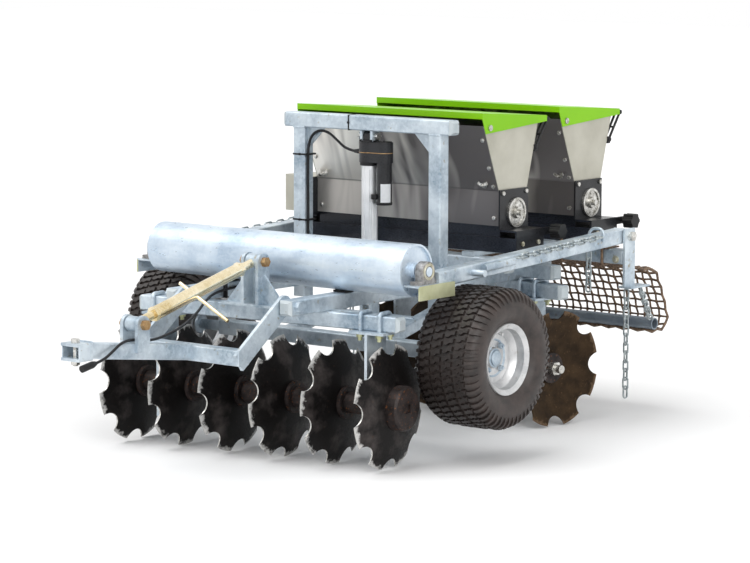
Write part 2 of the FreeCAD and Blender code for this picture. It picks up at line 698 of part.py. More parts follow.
def build_beams():
    bolts = []
    for gang in (FRONT_GANG, REAR_GANG):
        beam = bar((-gang.beam_half, 0, BEAM_Z), (gang.beam_half, 0, BEAM_Z))
        node(gang.name + "_gang_beam", [in_gang(beam, gang)])
        bolts += build_hangers(gang)
    node("gang_u_bolts", bolts)


# ---------------------------------------------------------------- wheels and lift
def tyre_shape():
    """Turf tyre centred on the origin, axis along X, open at its bead."""
    w = TYRE_W / 2
    bead = RIM_SEAT_R + GAP
    half = [(RIM_W / 2 - 14, bead), (RIM_W / 2 - 8, bead + 18), (w, bead + 56), (w - 6, TYRE_R - 44),
            (w - 20, TYRE_R - 14), (w - 48, TYRE_R - 3)]
    hollow = [(w - 26, TYRE_R - 30), (w - 16, bead + 58), (RIM_W / 2 - 30, bead)]
    section = [(-x, r) for x, r in half] + [(0, TYRE_R)] + half[::-1]
    return revolve_x(section + hollow[::-1] + [(-x, r) for x, r in hollow])


def rim_shape():
    """Deep-dish rim with its disc and hub, outer side towards +X."""
    e = RIM_W / 2
    seat = RIM_SEAT_R
    flange = RIM_FLANGE_R
    outer = [(e, flange), (e - RIM_T, flange), (e - 12, seat), (e - 38, seat), (e - 54, seat - 16)]
    inner = [(e - 56, seat - 16 - RIM_T), (e - 40, seat - RIM_T), (e - 8, seat - RIM_T), (e, flange - RIM_T)]
    barrel = outer + [(-x, r) for x, r in outer[::-1]] + [(-x, r) for x, r in inner[::-1]] + inner
    bore = STUB_R + GAP
    disc = [(WHEEL_DISC_X, bore), (WHEEL_DISC_X, seat - 18), (WHEEL_DISC_X + RIM_T, seat - 18),
            (WHEEL_DISC_X + RIM_T, bore)]
    hub = [(HUB_IN, bore), (HUB_IN, HUB_R), (HUB_OUT, HUB_R), (HUB_OUT, bore)]
    hub_cap = [(HUB_OUT, 0), (HUB_OUT, HUB_CAP_R), (HUB_OUT + HUB_CAP_LEN, HUB_CAP_R - RIM_T),
               (HUB_OUT + HUB_CAP_LEN, 0)]
    return fuse([revolve_x(profile) for profile in (barrel, disc, hub, hub_cap)])


def build_wheels():
    for name, s in (("left", 1), ("right", -1)):
        for kind, shape in (("tyre", tyre_shape()), ("rim", rim_shape())):
            if s < 0:
                shape = shape.mirror(Vector(0, 0, 0), Vector(1, 0, 0))
            shape.translate(Vector(s * WHEEL_X, 0, AXLE_Z))
            node(kind + "_" + name, [shape])


def build_lift():
    """Axle, two arms back to the chassis lugs, and the crank that the actuator pushes."""
    crank_z = AXLE_Z + PORTAL_Y / LIFT_PIVOT_Y * (LIFT_PIVOT_Z - AXLE_Z)
    corner = LIFT_ARM / 8
    parts = [bar((-AXLE_HALF, 0, AXLE_Z), (AXLE_HALF, 0, AXLE_Z)),
             bar((-LIFT_ARM_X, PORTAL_Y, crank_z), (LIFT_ARM_X, PORTAL_Y, crank_z), LIFT_ARM, corner)]
    holes = []
    pins = []
    for s in (-1, 1):
        parts.append(cyl((s * (AXLE_HALF - 1), 0, AXLE_Z), (s, 0, 0), STUB_R, WHEEL_X + HUB_OUT - AXLE_HALF))
        parts.append(bar((s * LIFT_ARM_X, 0, AXLE_Z), (s * LIFT_ARM_X, LIFT_PIVOT_Y, LIFT_PIVOT_Z), LIFT_ARM,
                         corner))
        parts.append(cyl((s * LIFT_ARM_X - LIFT_ARM / 2, LIFT_PIVOT_Y, LIFT_PIVOT_Z), (1, 0, 0),
                         LIFT_BOSS_R, LIFT_ARM))
        parts.append(side_box(s, CRANK_LUG_X - CRANK_LUG_T / 2, CRANK_LUG_X + CRANK_LUG_T / 2,
                              PORTAL_Y - CRANK_LUG_W / 2, PORTAL_Y + CRANK_LUG_W / 2, crank_z,
                              ROD_EYE_Z + CRANK_LUG_W / 2))
        holes.append(cyl((s * LIFT_ARM_X - TUBE, LIFT_PIVOT_Y, LIFT_PIVOT_Z), (1, 0, 0), LIFT_PIN_R + FIT,
                         2 * TUBE))
        pins.append(pin_x(LIFT_PIVOT_Y, LIFT_PIVOT_Z, LIFT_PIN_R, LIFT_ARM_X - LIFT_ARM / 2 - CAP_LIP,
                          LIFT_LUG_X + LIFT_LUG_T / 2, s))
    node("lift_frame", [fuse(parts).cut(holes)])
    node("lift_pivot_pins", pins)


# ---------------------------------------------------------------- portal and actuator
def build_portal():
    h = TUBE / 2
    beam_z = PORTAL_TOP - h
    half = PORTAL_X + h + PORTAL_OVERHANG
    y = PORTAL_Y - GUSSET_T / 2
    parts = [bar((-half, PORTAL_Y, beam_z), (half, PORTAL_Y, beam_z))]
    for s in (-1, 1):
        x = s * (PORTAL_X - h + 1)
        top = PORTAL_TOP - TUBE + 1
        foot = RAIL_Z + h
        parts.append(bar((s * PORTAL_X, PORTAL_Y, PORTAL_BASE), (s * PORTAL_X, PORTAL_Y, beam_z)))
        parts.append(prism([(x, y, top), (x - s * GUSSET, y, top), (x, y, top - GUSSET)], (0, 1, 0),
                           GUSSET_T))
        parts.append(prism([(x, y, foot), (x - s * FOOT_GUSSET_W, y, foot), (x, y, foot + FOOT_GUSSET_H)],
                           (0, 1, 0), GUSSET_T))
        parts.append(side_box(s, ACT_EAR_X - ACT_EAR_T / 2, ACT_EAR_X + ACT_EAR_T / 2,
                              PORTAL_Y - ACT_EAR_W / 2,
                              PORTAL_Y + ACT_EAR_W / 2, top - ACT_EAR_DROP, top))
    hole = cyl((-TUBE, PORTAL_Y, ACT_PIN_Z), (1, 0, 0), ACT_PIN_R, 2 * TUBE)
    node("portal", [fuse(parts).cut(hole)])


def build_actuator():
    """Electric actuator: cast head with its motor, grooved tube and a rod with an eye."""
    y = PORTAL_Y
    out = ACT_EAR_X + ACT_EAR_T / 2
    shank = cyl((-out, y, ACT_PIN_Z), (1, 0, 0), ACT_PIN_R, 2 * out)
    node("actuator_pin", [fuse([shank] + [nut((s * out, y, ACT_PIN_Z), (s, 0, 0), ACT_PIN_R) for s in (-1,
                                                                                                       1)])])

    wall = MOTOR_R + ACT_HEAD_WALL
    gland = cone((-ACT_HEAD_R, y, CABLE_ROUTE[0][2]), (-1, 0, 0), GLAND_R, GLAND_TIP_R, GLAND_LEN)
    housing = fuse([
        box(-ACT_EYE_HALF, ACT_EYE_HALF, y - 2 * ACT_PIN_R, y + 2 * ACT_PIN_R, ACT_HEAD_Z1 - 1, ACT_PIN_Z),
        cyl((-ACT_EYE_HALF, y, ACT_PIN_Z), (1, 0, 0), 2 * ACT_PIN_R, 2 * ACT_EYE_HALF),
        cyl((0, y, ACT_HEAD_Z0), (0, 0, 1), ACT_HEAD_R, ACT_HEAD_Z1 - ACT_HEAD_Z0),
        cyl((MOTOR_X, y, ACT_HEAD_Z0), (0, 0, 1), wall, ACT_HEAD_Z1 - ACT_HEAD_Z0),
        box(0, MOTOR_X, y - wall, y + wall, ACT_HEAD_Z0, ACT_HEAD_Z1),
        cyl((MOTOR_X, y, MOTOR_Z0), (0, 0, 1), MOTOR_R, ACT_HEAD_Z0 - MOTOR_Z0 + 1),
        cyl((-ACT_HEAD_R + GLAND_R, y, CABLE_ROUTE[0][2]), (-1, 0, 0), GLAND_R, GLAND_R),
        gland])
    node("actuator_housing", [housing.cut(cyl((-TUBE, y, ACT_PIN_Z), (1, 0, 0), ACT_PIN_R + FIT, 2 * TUBE))])

    length = ACT_HEAD_Z0 - ACT_TUBE_Z0
    tube = cyl((0, y, ACT_TUBE_Z0), (0, 0, 1), ACT_TUBE_R, length)
    cuts = [cyl((0, y, ACT_TUBE_Z0 - 1), (0, 0, 1), ROD_R + GAP, ROD_TOP_Z - ACT_TUBE_Z0 + TUBE / 2)]
    for i in range(GROOVES):
        a = 2 * math.pi * i / GROOVES
        cuts.append(cyl((ACT_TUBE_R * math.cos(a), y + ACT_TUBE_R * math.sin(a), ACT_TUBE_Z0 + TUBE / 2),
                        (0, 0, 1), GROOVE_R, length - TUBE))
    node("actuator_tube", [tube.cut(cuts)])
    rod = fuse([cyl((0, y, ROD_EYE_Z), (0, 0, 1), ROD_R, ROD_TOP_Z - ROD_EYE_Z),
                cyl((-ROD_EYE_W / 2, y, ROD_EYE_Z), (1, 0, 0), ROD_EYE_R, ROD_EYE_W)])
    node("actuator_rod", [rod.cut(cyl((-TUBE, y, ROD_EYE_Z), (1, 0, 0), ROD_BORE_R, 2 * TUBE))])


def build_cable():
    """Supply cable tied along the frame; its plug hangs beside the hitch."""
    cable, length, radii = round_rod(CABLE_ROUTE, CABLE_R)
    print("supply cable: length %.0f, volume ratio %.3f, radii %s" % (
        length, cable.Volume / (math.pi * CABLE_R ** 2 * length), " ".join("%.0f" % r for r in radii)))
    node("supply_cable", [cable])
    x, y, z = CABLE_ROUTE[-1]
    bx, by, bz = CABLE_ROUTE[-2]
    along = (Vector(x, y, z) - Vector(bx, by, bz)).normalize()
    neck_end = Vector(x, y, z) + along * PLUG_NECK_LEN
    node("cable_plug", [fuse([cone((x, y, z), along, PLUG_NECK_R, PLUG_R, PLUG_NECK_LEN),
                              cyl(neck_end, along, PLUG_R, PLUG_LEN)])])


# ---------------------------------------------------------------- drawbar and top link
def lug_pair(y, z, z_foot, outer):
    """Two round-topped lugs either side of a tube, and the hole for their pin."""
    parts = []
    for s in (-1, 1):
        parts.append(side_box(s, outer - LUG_T, outer, y - LUG_W / 2, y + LUG_W / 2, z_foot, z))
        parts.append(cyl((s * (outer - LUG_T), y, z), (s, 0, 0), LUG_W / 2, LUG_T))
    return parts, cyl((-2 * outer, y, z), (1, 0, 0), LINK_PIN_R, 4 * outer)


def build_drawbar():
    h = TUBE / 2
    front_y = HITCH_Y + HITCH_LEN
    tongue_drop = (HITCH_Z - BAR_CROSS_Z) / (front_y - BAR_CROSS_Y)
    lug_foot = BAR_CROSS_Z + tongue_drop * (LINK_FRONT_Y - BAR_CROSS_Y)
    lugs, lug_hole = lug_pair(LINK_FRONT_Y, LINK_FRONT_Z, lug_foot, h + LUG_T)
    parts = lugs + [
        bar((-BAR_ARM_X - BAR_ARM_T / 2, BAR_CROSS_Y, BAR_CROSS_Z),
            (BAR_ARM_X + BAR_ARM_T / 2, BAR_CROSS_Y, BAR_CROSS_Z)),
        bar((0, BAR_CROSS_Y, BAR_CROSS_Z), (0, front_y, HITCH_Z))]
    run = Vector(0, BAR_CROSS_Y - BAR_PIVOT_Y, BAR_CROSS_Z - BAR_PIVOT_Z).normalize()
    up = Vector(0, -run.z, run.y) * (BAR_ARM_W / 2)
    holes = [lug_hole]
    bolts = []
    for s in (-1, 1):
        x0 = s * BAR_ARM_X - BAR_ARM_T / 2
        a = Vector(x0, BAR_PIVOT_Y, BAR_PIVOT_Z)
        b = Vector(x0, BAR_CROSS_Y, BAR_CROSS_Z) + run * h
        parts.append(prism([a + up, b + up, b - up, a - up], (1, 0, 0), BAR_ARM_T))
        parts.append(cyl(a, (1, 0, 0), BAR_ARM_W / 2, BAR_ARM_T))
        holes.append(cyl((s * BAR_ARM_X - TUBE, BAR_PIVOT_Y, BAR_PIVOT_Z), (1, 0, 0), BAR_BOLT_R, 2 * TUBE))
        inner = BAR_ARM_X - BAR_ARM_T / 2
        bolt = pin_x(BAR_PIVOT_Y, BAR_PIVOT_Z, BAR_BOLT_R, inner - BAR_BOLT_R * 2, RAIL_X + h, s)
        bolts.append(fuse([bolt, nut((s * inner, BAR_PIVOT_Y, BAR_PIVOT_Z), (-s, 0, 0), BAR_BOLT_R)]))
    top = HITCH_Z + HITCH_H / 2
    low = HITCH_Z - HITCH_H / 2
    half = HITCH_W / 2
    for z0 in (low, top - HITCH_PLATE):
        parts.append(box(-half, half, HITCH_Y, front_y, z0, z0 + HITCH_PLATE))
    parts.append(box(-half, half, front_y - HITCH_PLATE, front_y, low, top))
    holes.append(cyl((0, HITCH_PIN_Y, low - 1), (0, 0, 1), HITCH_PIN_R, HITCH_H + 2))
    node("drawbar", [fuse(parts).cut(holes)])
    node("drawbar_bolts", bolts)
    reach = HITCH_PIN_R * 2
    pin = cyl((0, HITCH_PIN_Y, low - reach), (0, 0, 1), HITCH_PIN_R, HITCH_H + reach)
    node("hitch_pin", [fuse([pin, nut((0, HITCH_PIN_Y, top), (0, 0, 1), HITCH_PIN_R),
                             nut((0, HITCH_PIN_Y, low), (0, 0, -1), HITCH_PIN_R)])])


def build_mast():
    """Rear anchor of the top link: two lugs on a foot over the front beam, with gussets."""
    outer = TUBE / 2 + LUG_T
    foot = BEAM_Z + TUBE / 2
    y0 = LINK_REAR_Y - LUG_W / 2
    y1 = LINK_REAR_Y + LUG_W / 2
    parts, hole = lug_pair(LINK_REAR_Y, LINK_REAR_Z, foot, outer)
    parts.append(box(-MAST_FOOT_HALF, MAST_FOOT_HALF, y0, FRONT_GANG.y + TUBE / 4, foot, foot + MAST_FOOT_T))
    parts.append(box(-outer, outer, y1 - MAST_FOOT_T, y1, foot, LINK_REAR_Z - LINK_EYE_R - MAST_FOOT_T))
    for s in (-1, 1):
        base = foot + MAST_FOOT_T
        parts.append(prism([(s * outer, LINK_REAR_Y, base), (s * (outer + MAST_GUSSET_W), LINK_REAR_Y, base),
                            (s * outer, LINK_REAR_Y, base + MAST_GUSSET_H)], (0, 1, 0), MAST_FOOT_T))
    node("link_mast", [fuse(parts).cut(hole)])
    pins = []
    for y, z in ((LINK_FRONT_Y, LINK_FRONT_Z), (LINK_REAR_Y, LINK_REAR_Z)):
        reach = outer + LINK_PIN_R
        shank = cyl((-reach, y, z), (1, 0, 0), LINK_PIN_R, 2 * reach)
        pins.append(fuse([shank] + [nut((s * outer, y, z), (s, 0, 0), LINK_PIN_R) for s in (-1, 1)]))
    node("link_pins", pins)


def build_top_link():
    """Turnbuckle between the drawbar's lugs and the mast."""
    front = Vector(0, LINK_FRONT_Y, LINK_FRONT_Z)
    rear = Vector(0, LINK_REAR_Y, LINK_REAR_Z)
    run = rear - front
    along = Vector(run).normalize()
    start = front + along * LINK_TUBE_START
    nut_len = LINK_SCREW_R
    grip = start + along * (LINK_TUBE_LEN * LINK_HANDLE_SHARE)
    across = Vector(1, 0, -0.52).normalize()
    handle_hole = cyl(grip - across * BAR_HANDLE_LEN, across, BAR_HANDLE_R + FIT, 2 * BAR_HANDLE_LEN)
    eyes = [cyl((-LINK_EYE_W / 2, p.y, p.z), (1, 0, 0), LINK_EYE_R, LINK_EYE_W) for p in (front, rear)]
    bores = [cyl((-TUBE, p.y, p.z), (1, 0, 0), LINK_PIN_R + FIT, 2 * TUBE) for p in (front, rear)]
    screw = cyl(front, along, LINK_SCREW_R, run.Length)
    body = fuse([cyl(start, along, LINK_TUBE_R, LINK_TUBE_LEN),
                 hexagon(start, along * -1, LINK_NUT, nut_len),
                 hexagon(start + along * LINK_TUBE_LEN, along, LINK_NUT, nut_len)])
    body = body.cut([cyl(start - along * TUBE, along, LINK_SCREW_R, LINK_TUBE_LEN + 2 * TUBE), handle_hole])
    node("top_link_screws", [fuse([screw] + eyes).cut(bores + [handle_hole])])
    node("top_link_body", [body])
    node("top_link_bar", [cyl(grip - across * BAR_HANDLE_IN, across, BAR_HANDLE_R, BAR_HANDLE_LEN)])


# ---------------------------------------------------------------- roller and its frame
def build_roller():
    drum = cyl((-ROLLER_HALF, ROLLER_Y, ROLLER_Z), (1, 0, 0), ROLLER_R, 2 * ROLLER_HALF)
    ends = [cyl((s * (ROLLER_HALF - ROLLER_LIP), ROLLER_Y, ROLLER_Z), (s, 0, 0), ROLLER_R - ROLLER_WALL,
                2 * ROLLER_LIP)
            for s in (-1, 1)]
    boss_half = ROLLER_HALF + ROLLER_LIP
    node("roller", [fuse([
        drum.cut(ends),
        cyl((-boss_half, ROLLER_Y, ROLLER_Z), (1, 0, 0), ROLLER_BOSS_R, 2 * boss_half),
        cyl((-ROLLER_SHAFT_END, ROLLER_Y, ROLLER_Z), (1, 0, 0), ROLLER_SHAFT_R, 2 * ROLLER_SHAFT_END)])])
    node("roller_rests", [side_box(s, RAIL_X - REST_W / 2, RAIL_X + REST_W / 2, ROLLER_Y - REST_LEN / 2,
                                   ROLLER_Y + REST_LEN / 2, RAIL_Z + TUBE / 2, ROLLER_Z - ROLLER_R - GAP)
                          for s in (-1, 1)])


def arm_point(y, up):
    """Height of a point over a roller arm's middle line, at y along the machine."""
    slope = (SWING_Z - ARM_FRONT_Z) / (SWING_Y - ARM_FRONT_Y)
    return ARM_FRONT_Z + slope * (y - ARM_FRONT_Y) + up


def build_roller_arms():
    """Arms with their bearing brackets, sleeves, studs and the hooks that hold the chains."""
    h = TUBE / 2
    bearings = []
    for name, s in (("left", 1), ("right", -1)):
        seat = ROLLER_Z - PILLOW_H
        outer = ARM_X + BRACKET_OUT
        leg_x = (ARM_X - h - HOOK_R + 0.5, ARM_X + h + HOOK_R - 0.5)
        hook_top = arm_point(HOOK_Y, h + HOOK_H)
        hook = round_rod([(s * leg_x[1], HOOK_Y, arm_point(HOOK_Y, 0)), (s * leg_x[1], HOOK_Y, hook_top),
                          (s * leg_x[0], HOOK_Y, hook_top), (s * leg_x[0], HOOK_Y,
                                                             arm_point(HOOK_Y, -h - HOOK_R))],
                         HOOK_R)[0]
        arm = fuse([
            bar((s * ARM_X, ARM_FRONT_Y, ARM_FRONT_Z), (s * ARM_X, SWING_Y, SWING_Z)),
            cyl((s * ARM_X - h, SWING_Y, SWING_Z), (1, 0, 0), h - 0.1, TUBE),
            side_box(s, outer - BRACKET_T, outer, ROLLER_Y - BRACKET_FRONT, ROLLER_Y + BRACKET_REAR,
                     seat - BRACKET_DROP, seat),
            side_box(s, outer - 2 * BRACKET_OUT, outer, ROLLER_Y - BRACKET_FRONT, ARM_FRONT_Y,
                     seat - BRACKET_T, seat),
            cyl((s * (ARM_X + h - 1), STUD_Y, arm_point(STUD_Y, 0)), (s, 0, 0), STUD_R,
                STUD_OUT - ARM_X - h + 1),
            bar((s * SLEEVE_X, SLEEVE_Y0, arm_point(SLEEVE_Y0, SLEEVE_RISE)),
                (s * SLEEVE_X, SLEEVE_Y1, arm_point(SLEEVE_Y1, SLEEVE_RISE)), 2 * SLEEVE_R, SLEEVE_R - 1),
            hook])
        arm = arm.cut(cyl((s * ARM_X - TUBE, SWING_Y, SWING_Z), (1, 0, 0), SWING_PIN_R + FIT, 2 * TUBE))
        node("roller_arm_" + name, [arm])
        block = box(s * ARM_X - PILLOW_W / 2, s * ARM_X + PILLOW_W / 2,
                    ROLLER_Y - PILLOW_BASE / 2 - PILLOW_LEDGE,
                    ARM_FRONT_Y - GAP, seat, seat + PILLOW_BASE_T)
        ring = cyl((s * ARM_X - PILLOW_W / 2, ROLLER_Y, ROLLER_Z), (1, 0, 0), PILLOW_R, PILLOW_W)
        web = box(s * ARM_X - PILLOW_W / 2, s * ARM_X + PILLOW_W / 2, ROLLER_Y - PILLOW_R,
                  ROLLER_Y + PILLOW_R,
                  seat, ROLLER_Z)
        bearing = fuse([block, ring, web])
        bearings.append(bearing.cut(cyl((s * ARM_X - TUBE, ROLLER_Y, ROLLER_Z), (1, 0, 0),
                                        ROLLER_SHAFT_R + FIT, 2 * TUBE)))
    node("roller_bearings", bearings)


def build_posts():
    """Rear posts that carry the arms' pins, with a foot for the mat's chains."""
    posts = []
    pins = []
    half = POST_W / 2
    grip = TUBE / 2 - 1
    for s in (-1, 1):
        post = fuse([
            side_box(s, POST_X, POST_X + POST_T, SWING_Y - half, SWING_Y + half, POST_Z0, POST_Z1),
            side_box(s, POST_X - POST_FOOT_W / 2, POST_X + POST_FOOT_W, SWING_Y - half,
                     SWING_Y + half + POST_FOOT_REAR, POST_Z0 - POST_FOOT_T, POST_Z0),
            side_box(s, REAR_CROSS_HALF, POST_X, REAR_CROSS_Y - grip, REAR_CROSS_Y + grip,
                     CROSS_Z - grip, CROSS_Z + grip)])
        posts.append(post.cut(cyl((s * POST_X - TUBE, SWING_Y, SWING_Z), (1, 0, 0), SWING_PIN_R, 2 * TUBE)))
        pins.append(pin_x(SWING_Y, SWING_Z, SWING_PIN_R, ARM_X - BRACKET_OUT, POST_X + POST_T, s))
    node("rear_posts", posts)
    node("swing_pins", pins)


# ---------------------------------------------------------------- hoppers
def hopper_shell(y):
    """Open-topped hopper: an upright neck on the meter, flaring to the mouth."""
    t = SHEET
    foot = HOPPER_FOOT_W / 2
    outer = [(y - HOPPER_TOP_FRONT, HOPPER_TOP_Z), (y - foot, HOPPER_NECK_Z), (y - foot, HOPPER_FLOOR_Z),
             (y + foot, HOPPER_FLOOR_Z), (y + foot, HOPPER_NECK_Z), (y + HOPPER_TOP_REAR, HOPPER_TOP_Z)]
    inner = [(y - HOPPER_TOP_FRONT + t, HOPPER_TOP_Z + 1), (y - foot + t, HOPPER_NECK_Z),
             (y - foot + t, HOPPER_FLOOR_Z + t), (y + foot - t, HOPPER_FLOOR_Z + t),
             (y + foot - t, HOPPER_NECK_Z), (y + HOPPER_TOP_REAR - t, HOPPER_TOP_Z + 1)]
    return section_yz(outer, -HOPPER_HALF, HOPPER_HALF).cut(section_yz(inner, t - HOPPER_HALF,
                                                                       HOPPER_HALF - t))


def lid_shape(y):
    """Lid with front and rear lips and tapered ends; open underneath."""
    f = y - HOPPER_TOP_FRONT - LID_FRONT
    r = y + HOPPER_TOP_REAR + LID_REAR
    t = SHEET
    top = [(f, LID_Z_FRONT), (r, LID_Z_REAR), (r, LID_Z_REAR - LID_LIP), (r - t, LID_Z_REAR - LID_LIP),
           (r - t, LID_Z_REAR - t), (f + t, LID_Z_FRONT - t), (f + t, LID_Z_FRONT - LID_LIP),
           (f, LID_Z_FRONT - LID_LIP)]
    end = [(f, LID_Z_FRONT), (r, LID_Z_REAR), (r, LID_Z_REAR - LID_LIP),
           (f + LID_LIP, LID_Z_FRONT - LID_SIDE_DROP), (f, LID_Z_FRONT - LID_LIP)]
    lid = fuse([section_yz(top, -LID_HALF, LID_HALF), section_yz(end, -LID_HALF, t - LID_HALF),
                section_yz(end, LID_HALF - t, LID_HALF)])
    return lid.cut(cyl((-LID_HALF - 1, y + LID_PIVOT_Y, LID_PIVOT_Z), (1, 0, 0), LID_PIN_R + FIT,
                       2 * LID_HALF + 2))


def latch_shape(y, x):
    """Latch on the hopper's back, under the lid's rear edge."""
    slope = (HOPPER_TOP_REAR - HOPPER_FOOT_W / 2) / (HOPPER_TOP_Z - HOPPER_NECK_Z)
    points = []
    for z in (LATCH_TOP_Z - LATCH_LEN, LATCH_TOP_Z):
        wall = y + HOPPER_TOP_REAR - slope * (HOPPER_TOP_Z - z)
        points += [(wall, z), (wall + LATCH_T, z)]
    return section_yz([points[0], points[1], points[3], points[2]], x - LATCH_W / 2, x + LATCH_W / 2)


def hopper_base(y):
    """Black channel with the meter trough on it and a bracket at each end."""
    half = BASE_W / 2
    inside = box(-BASE_HALF - 1, BASE_HALF + 1, y - half + BASE_T, y + half - BASE_T, BASE_Z0 - 1,
                 BASE_Z1 - BASE_T)
    parts = [box(-BASE_HALF, BASE_HALF, y - half, y + half, BASE_Z0, BASE_Z1).cut(inside),
             box(-METER_HALF, METER_HALF, y - METER_W / 2, y + METER_W / 2, BASE_Z1, HOPPER_FLOOR_Z)]
    for s in (-1, 1):
        parts.append(side_box(s, BASE_HALF, END_SHELF_X, y - half, y + half, BASE_Z0, PLATE_Z0))
        parts.append(side_box(s, HOPPER_HALF + PLATE_T, END_SHELF_X, y - half, y + half,
                              PLATE_Z0 - SHELF_T, PLATE_Z0))
    parts.append(box(BASE_HALF, END_SHELF_X, y + half, y + KNOB_Y + SHELF_T, KNOB_Z - 2 * SHELF_T, PLATE_Z0))
    return fuse(parts)


def seed_bearing(y, side):
    """Flange bearing of the seed shaft: a ring, an inner flange with three bolts, and the shaft's end."""
    x = side * (HOPPER_HALF + PLATE_T)
    axis = (side, 0, 0)
    ring = cyl((x, y, FLANGE_Z), axis, FLANGE_R, FLANGE_RIM_T).cut(
        cyl((x, y, FLANGE_Z), axis, FLANGE_R - FLANGE_RIM_W, FLANGE_RIM_T))
    parts = [ring, cyl((x, y, FLANGE_Z), axis, FLANGE_R - 1, FLANGE_RIM_T / 2),
             cyl((x, y, FLANGE_Z), axis, 2 * SEED_SHAFT_R, 2 * FLANGE_RIM_T),
             cyl((x, y, FLANGE_Z), axis, SEED_SHAFT_R, SEED_SHAFT_OUT)]
    for i in range(3):
        a = math.radians(90 + 120 * i)
        r = FLANGE_R - 2 * FLANGE_RIM_W
        parts.append(nut((x, y + r * math.cos(a), FLANGE_Z + r * math.sin(a)), axis, FLANGE_RIM_T / 2))
    return fuse(parts)


def adjuster_knob(y):
    """Lobed knob on its stud, at the base's left end."""
    parts = [cyl((END_SHELF_X, y, KNOB_Z), (1, 0, 0), KNOB_STUD_R, KNOB_X - END_SHELF_X + 1),
             cyl((KNOB_X, y, KNOB_Z), (1, 0, 0), KNOB_R - KNOB_LOBE_R / 2, KNOB_T)]
    for i in range(KNOB_LOBES):
        a = 2 * math.pi * i / KNOB_LOBES
        r = KNOB_R - KNOB_LOBE_R
        parts.append(cyl((KNOB_X, y + r * math.cos(a), KNOB_Z + r * math.sin(a)), (1, 0, 0), KNOB_LOBE_R,
                         KNOB_T))
    return fuse(parts)


def build_hoppers():
    plates = []
    bearings = []
    pins = []
    bases = []
    knobs = []
    x = HOPPER_HALF
    for name, y in (("front", HOPPER_Y), ("rear", HOPPER_Y + HOPPER_PITCH)):
        half = HOPPER_FOOT_W / 2 + SHEET
        node("hopper_" + name, [hopper_shell(y)])
        node("lid_" + name, [lid_shape(y)])
        node("latches_" + name, [latch_shape(y, s * LATCH_X) for s in (-1, 1)])
        bases.append(hopper_base(y))
        knobs.append(adjuster_knob(y + KNOB_Y))
        for s in (-1, 1):
            plate = side_box(s, x, x + PLATE_T, y - half, y + half, PLATE_Z0, PLATE_Z1)
            pin = fuse([cyl((s * x, y + LID_PIVOT_Y, LID_PIVOT_Z), (s, 0, 0), LID_PIN_R, LID_HALF - x),
                        cyl((s * LID_HALF, y + LID_PIVOT_Y, LID_PIVOT_Z), (s, 0, 0), 2 * LID_PIN_R,
                            LID_PIN_R)])
            boxed = s < 0 and name == "front"
            if boxed:
                plate = fuse([plate, side_box(s, x, x + PLATE_T, y - GUARD_REACH, y - half, PLATE_Z0,
                                              PLATE_Z1)])
            else:
                bearings.append(seed_bearing(y + FLANGE_Y, s))
            plates.append(plate)
            pins.append(pin)
    node("hopper_end_plates", plates)
    node("flange_bearings", bearings)
    node("lid_pins", pins)
    node("hopper_bases", bases)
    node("adjuster_knobs", knobs)
    rear = HOPPER_Y + BOX_REAR
    node("control_box", [box(BOX_X0, -HOPPER_HALF - PLATE_T, rear - BOX_LEN, rear, BOX_Z0, BOX_Z1)])


# ---------------------------------------------------------------- drag mat and chains
def strip_yz(points, thick, x0, x1):
    """Bent sheet of even thickness whose middle follows (y, z) points."""
    left = []
    right = []
    for i, (y, z) in enumerate(points):
        y0, z0 = points[max(i - 1, 0)]
        y1, z1 = points[min(i + 1, len(points) - 1)]
        before = Vector(0, y - y0, z - z0) if i else Vector(0, y1 - y, z1 - z)
        after = Vector(0, y1 - y, z1 - z) if i < len(points) - 1 else before
        along = (before.normalize() + after.normalize()).normalize()
        reach = thick / 2 / max(along.dot(before), 0.5)
        left.append((y - along.z * reach, z + along.y * reach))
        right.append((y + along.z * reach, z - along.y * reach))
    return section_yz(left + right[::-1], x0, x1)


def chain_link(turned):
    """Octagonal link centred on the origin, its length along X; turned links lie edgewise."""
    half = LINK_PITCH / 2
    width = LINK_INNER / 2

    def outline(a, b, c):
        return [(a, b - c), (a - c, b), (c - a, b), (-a, b - c), (-a, c - b), (c - a, -b), (a - c, -b),
                (a, c - b)]

    rings = []
    for a, b, c in ((half + LINK_WIRE, width + LINK_WIRE, LINK_CORNER), (half, width, LINK_CORNER / 2)):
        rings.append(prism([(x, y, -LINK_WIRE / 2) for x, y in outline(a, b, c)], (0, 0, 1), LINK_WIRE))
    link = rings[0].cut(rings[1])
    if turned:
        link.rotate(Vector(0, 0, 0), Vector(1, 0, 0), 90)
    return link


def chain_run(start, end, first_turned):
    """Links from start to end, each through the one before."""
    a = Vector(*start)
    run = Vector(*end) - a
    outer = LINK_PITCH / 2 + LINK_WIRE
    count = 1 + math.ceil((run.Length - 2 * outer) / (LINK_PITCH - GAP))
    pitch = (run.Length - 2 * outer) / (count - 1)
    along = Vector(run).normalize()
    level = Vector(0, 0, 1).cross(along)
    across = level.normalize() if level.Length > 0.1 else Vector(1, 0, 0)
    up = along.cross(across)
    links = []
    for i in range(count):
        c = a + along * (outer + pitch * i)
        link = chain_link(bool((i + first_turned) % 2))
        link.Placement = Placement(FreeCAD.Matrix(
            along.x, across.x, up.x, c.x, along.y, across.y, up.y, c.y,
            along.z, across.z, up.z, c.z, 0, 0, 0, 1)).multiply(link.Placement)
        links.append(link)
    print("chain: %d links at %.2f" % (count, pitch))
    return links


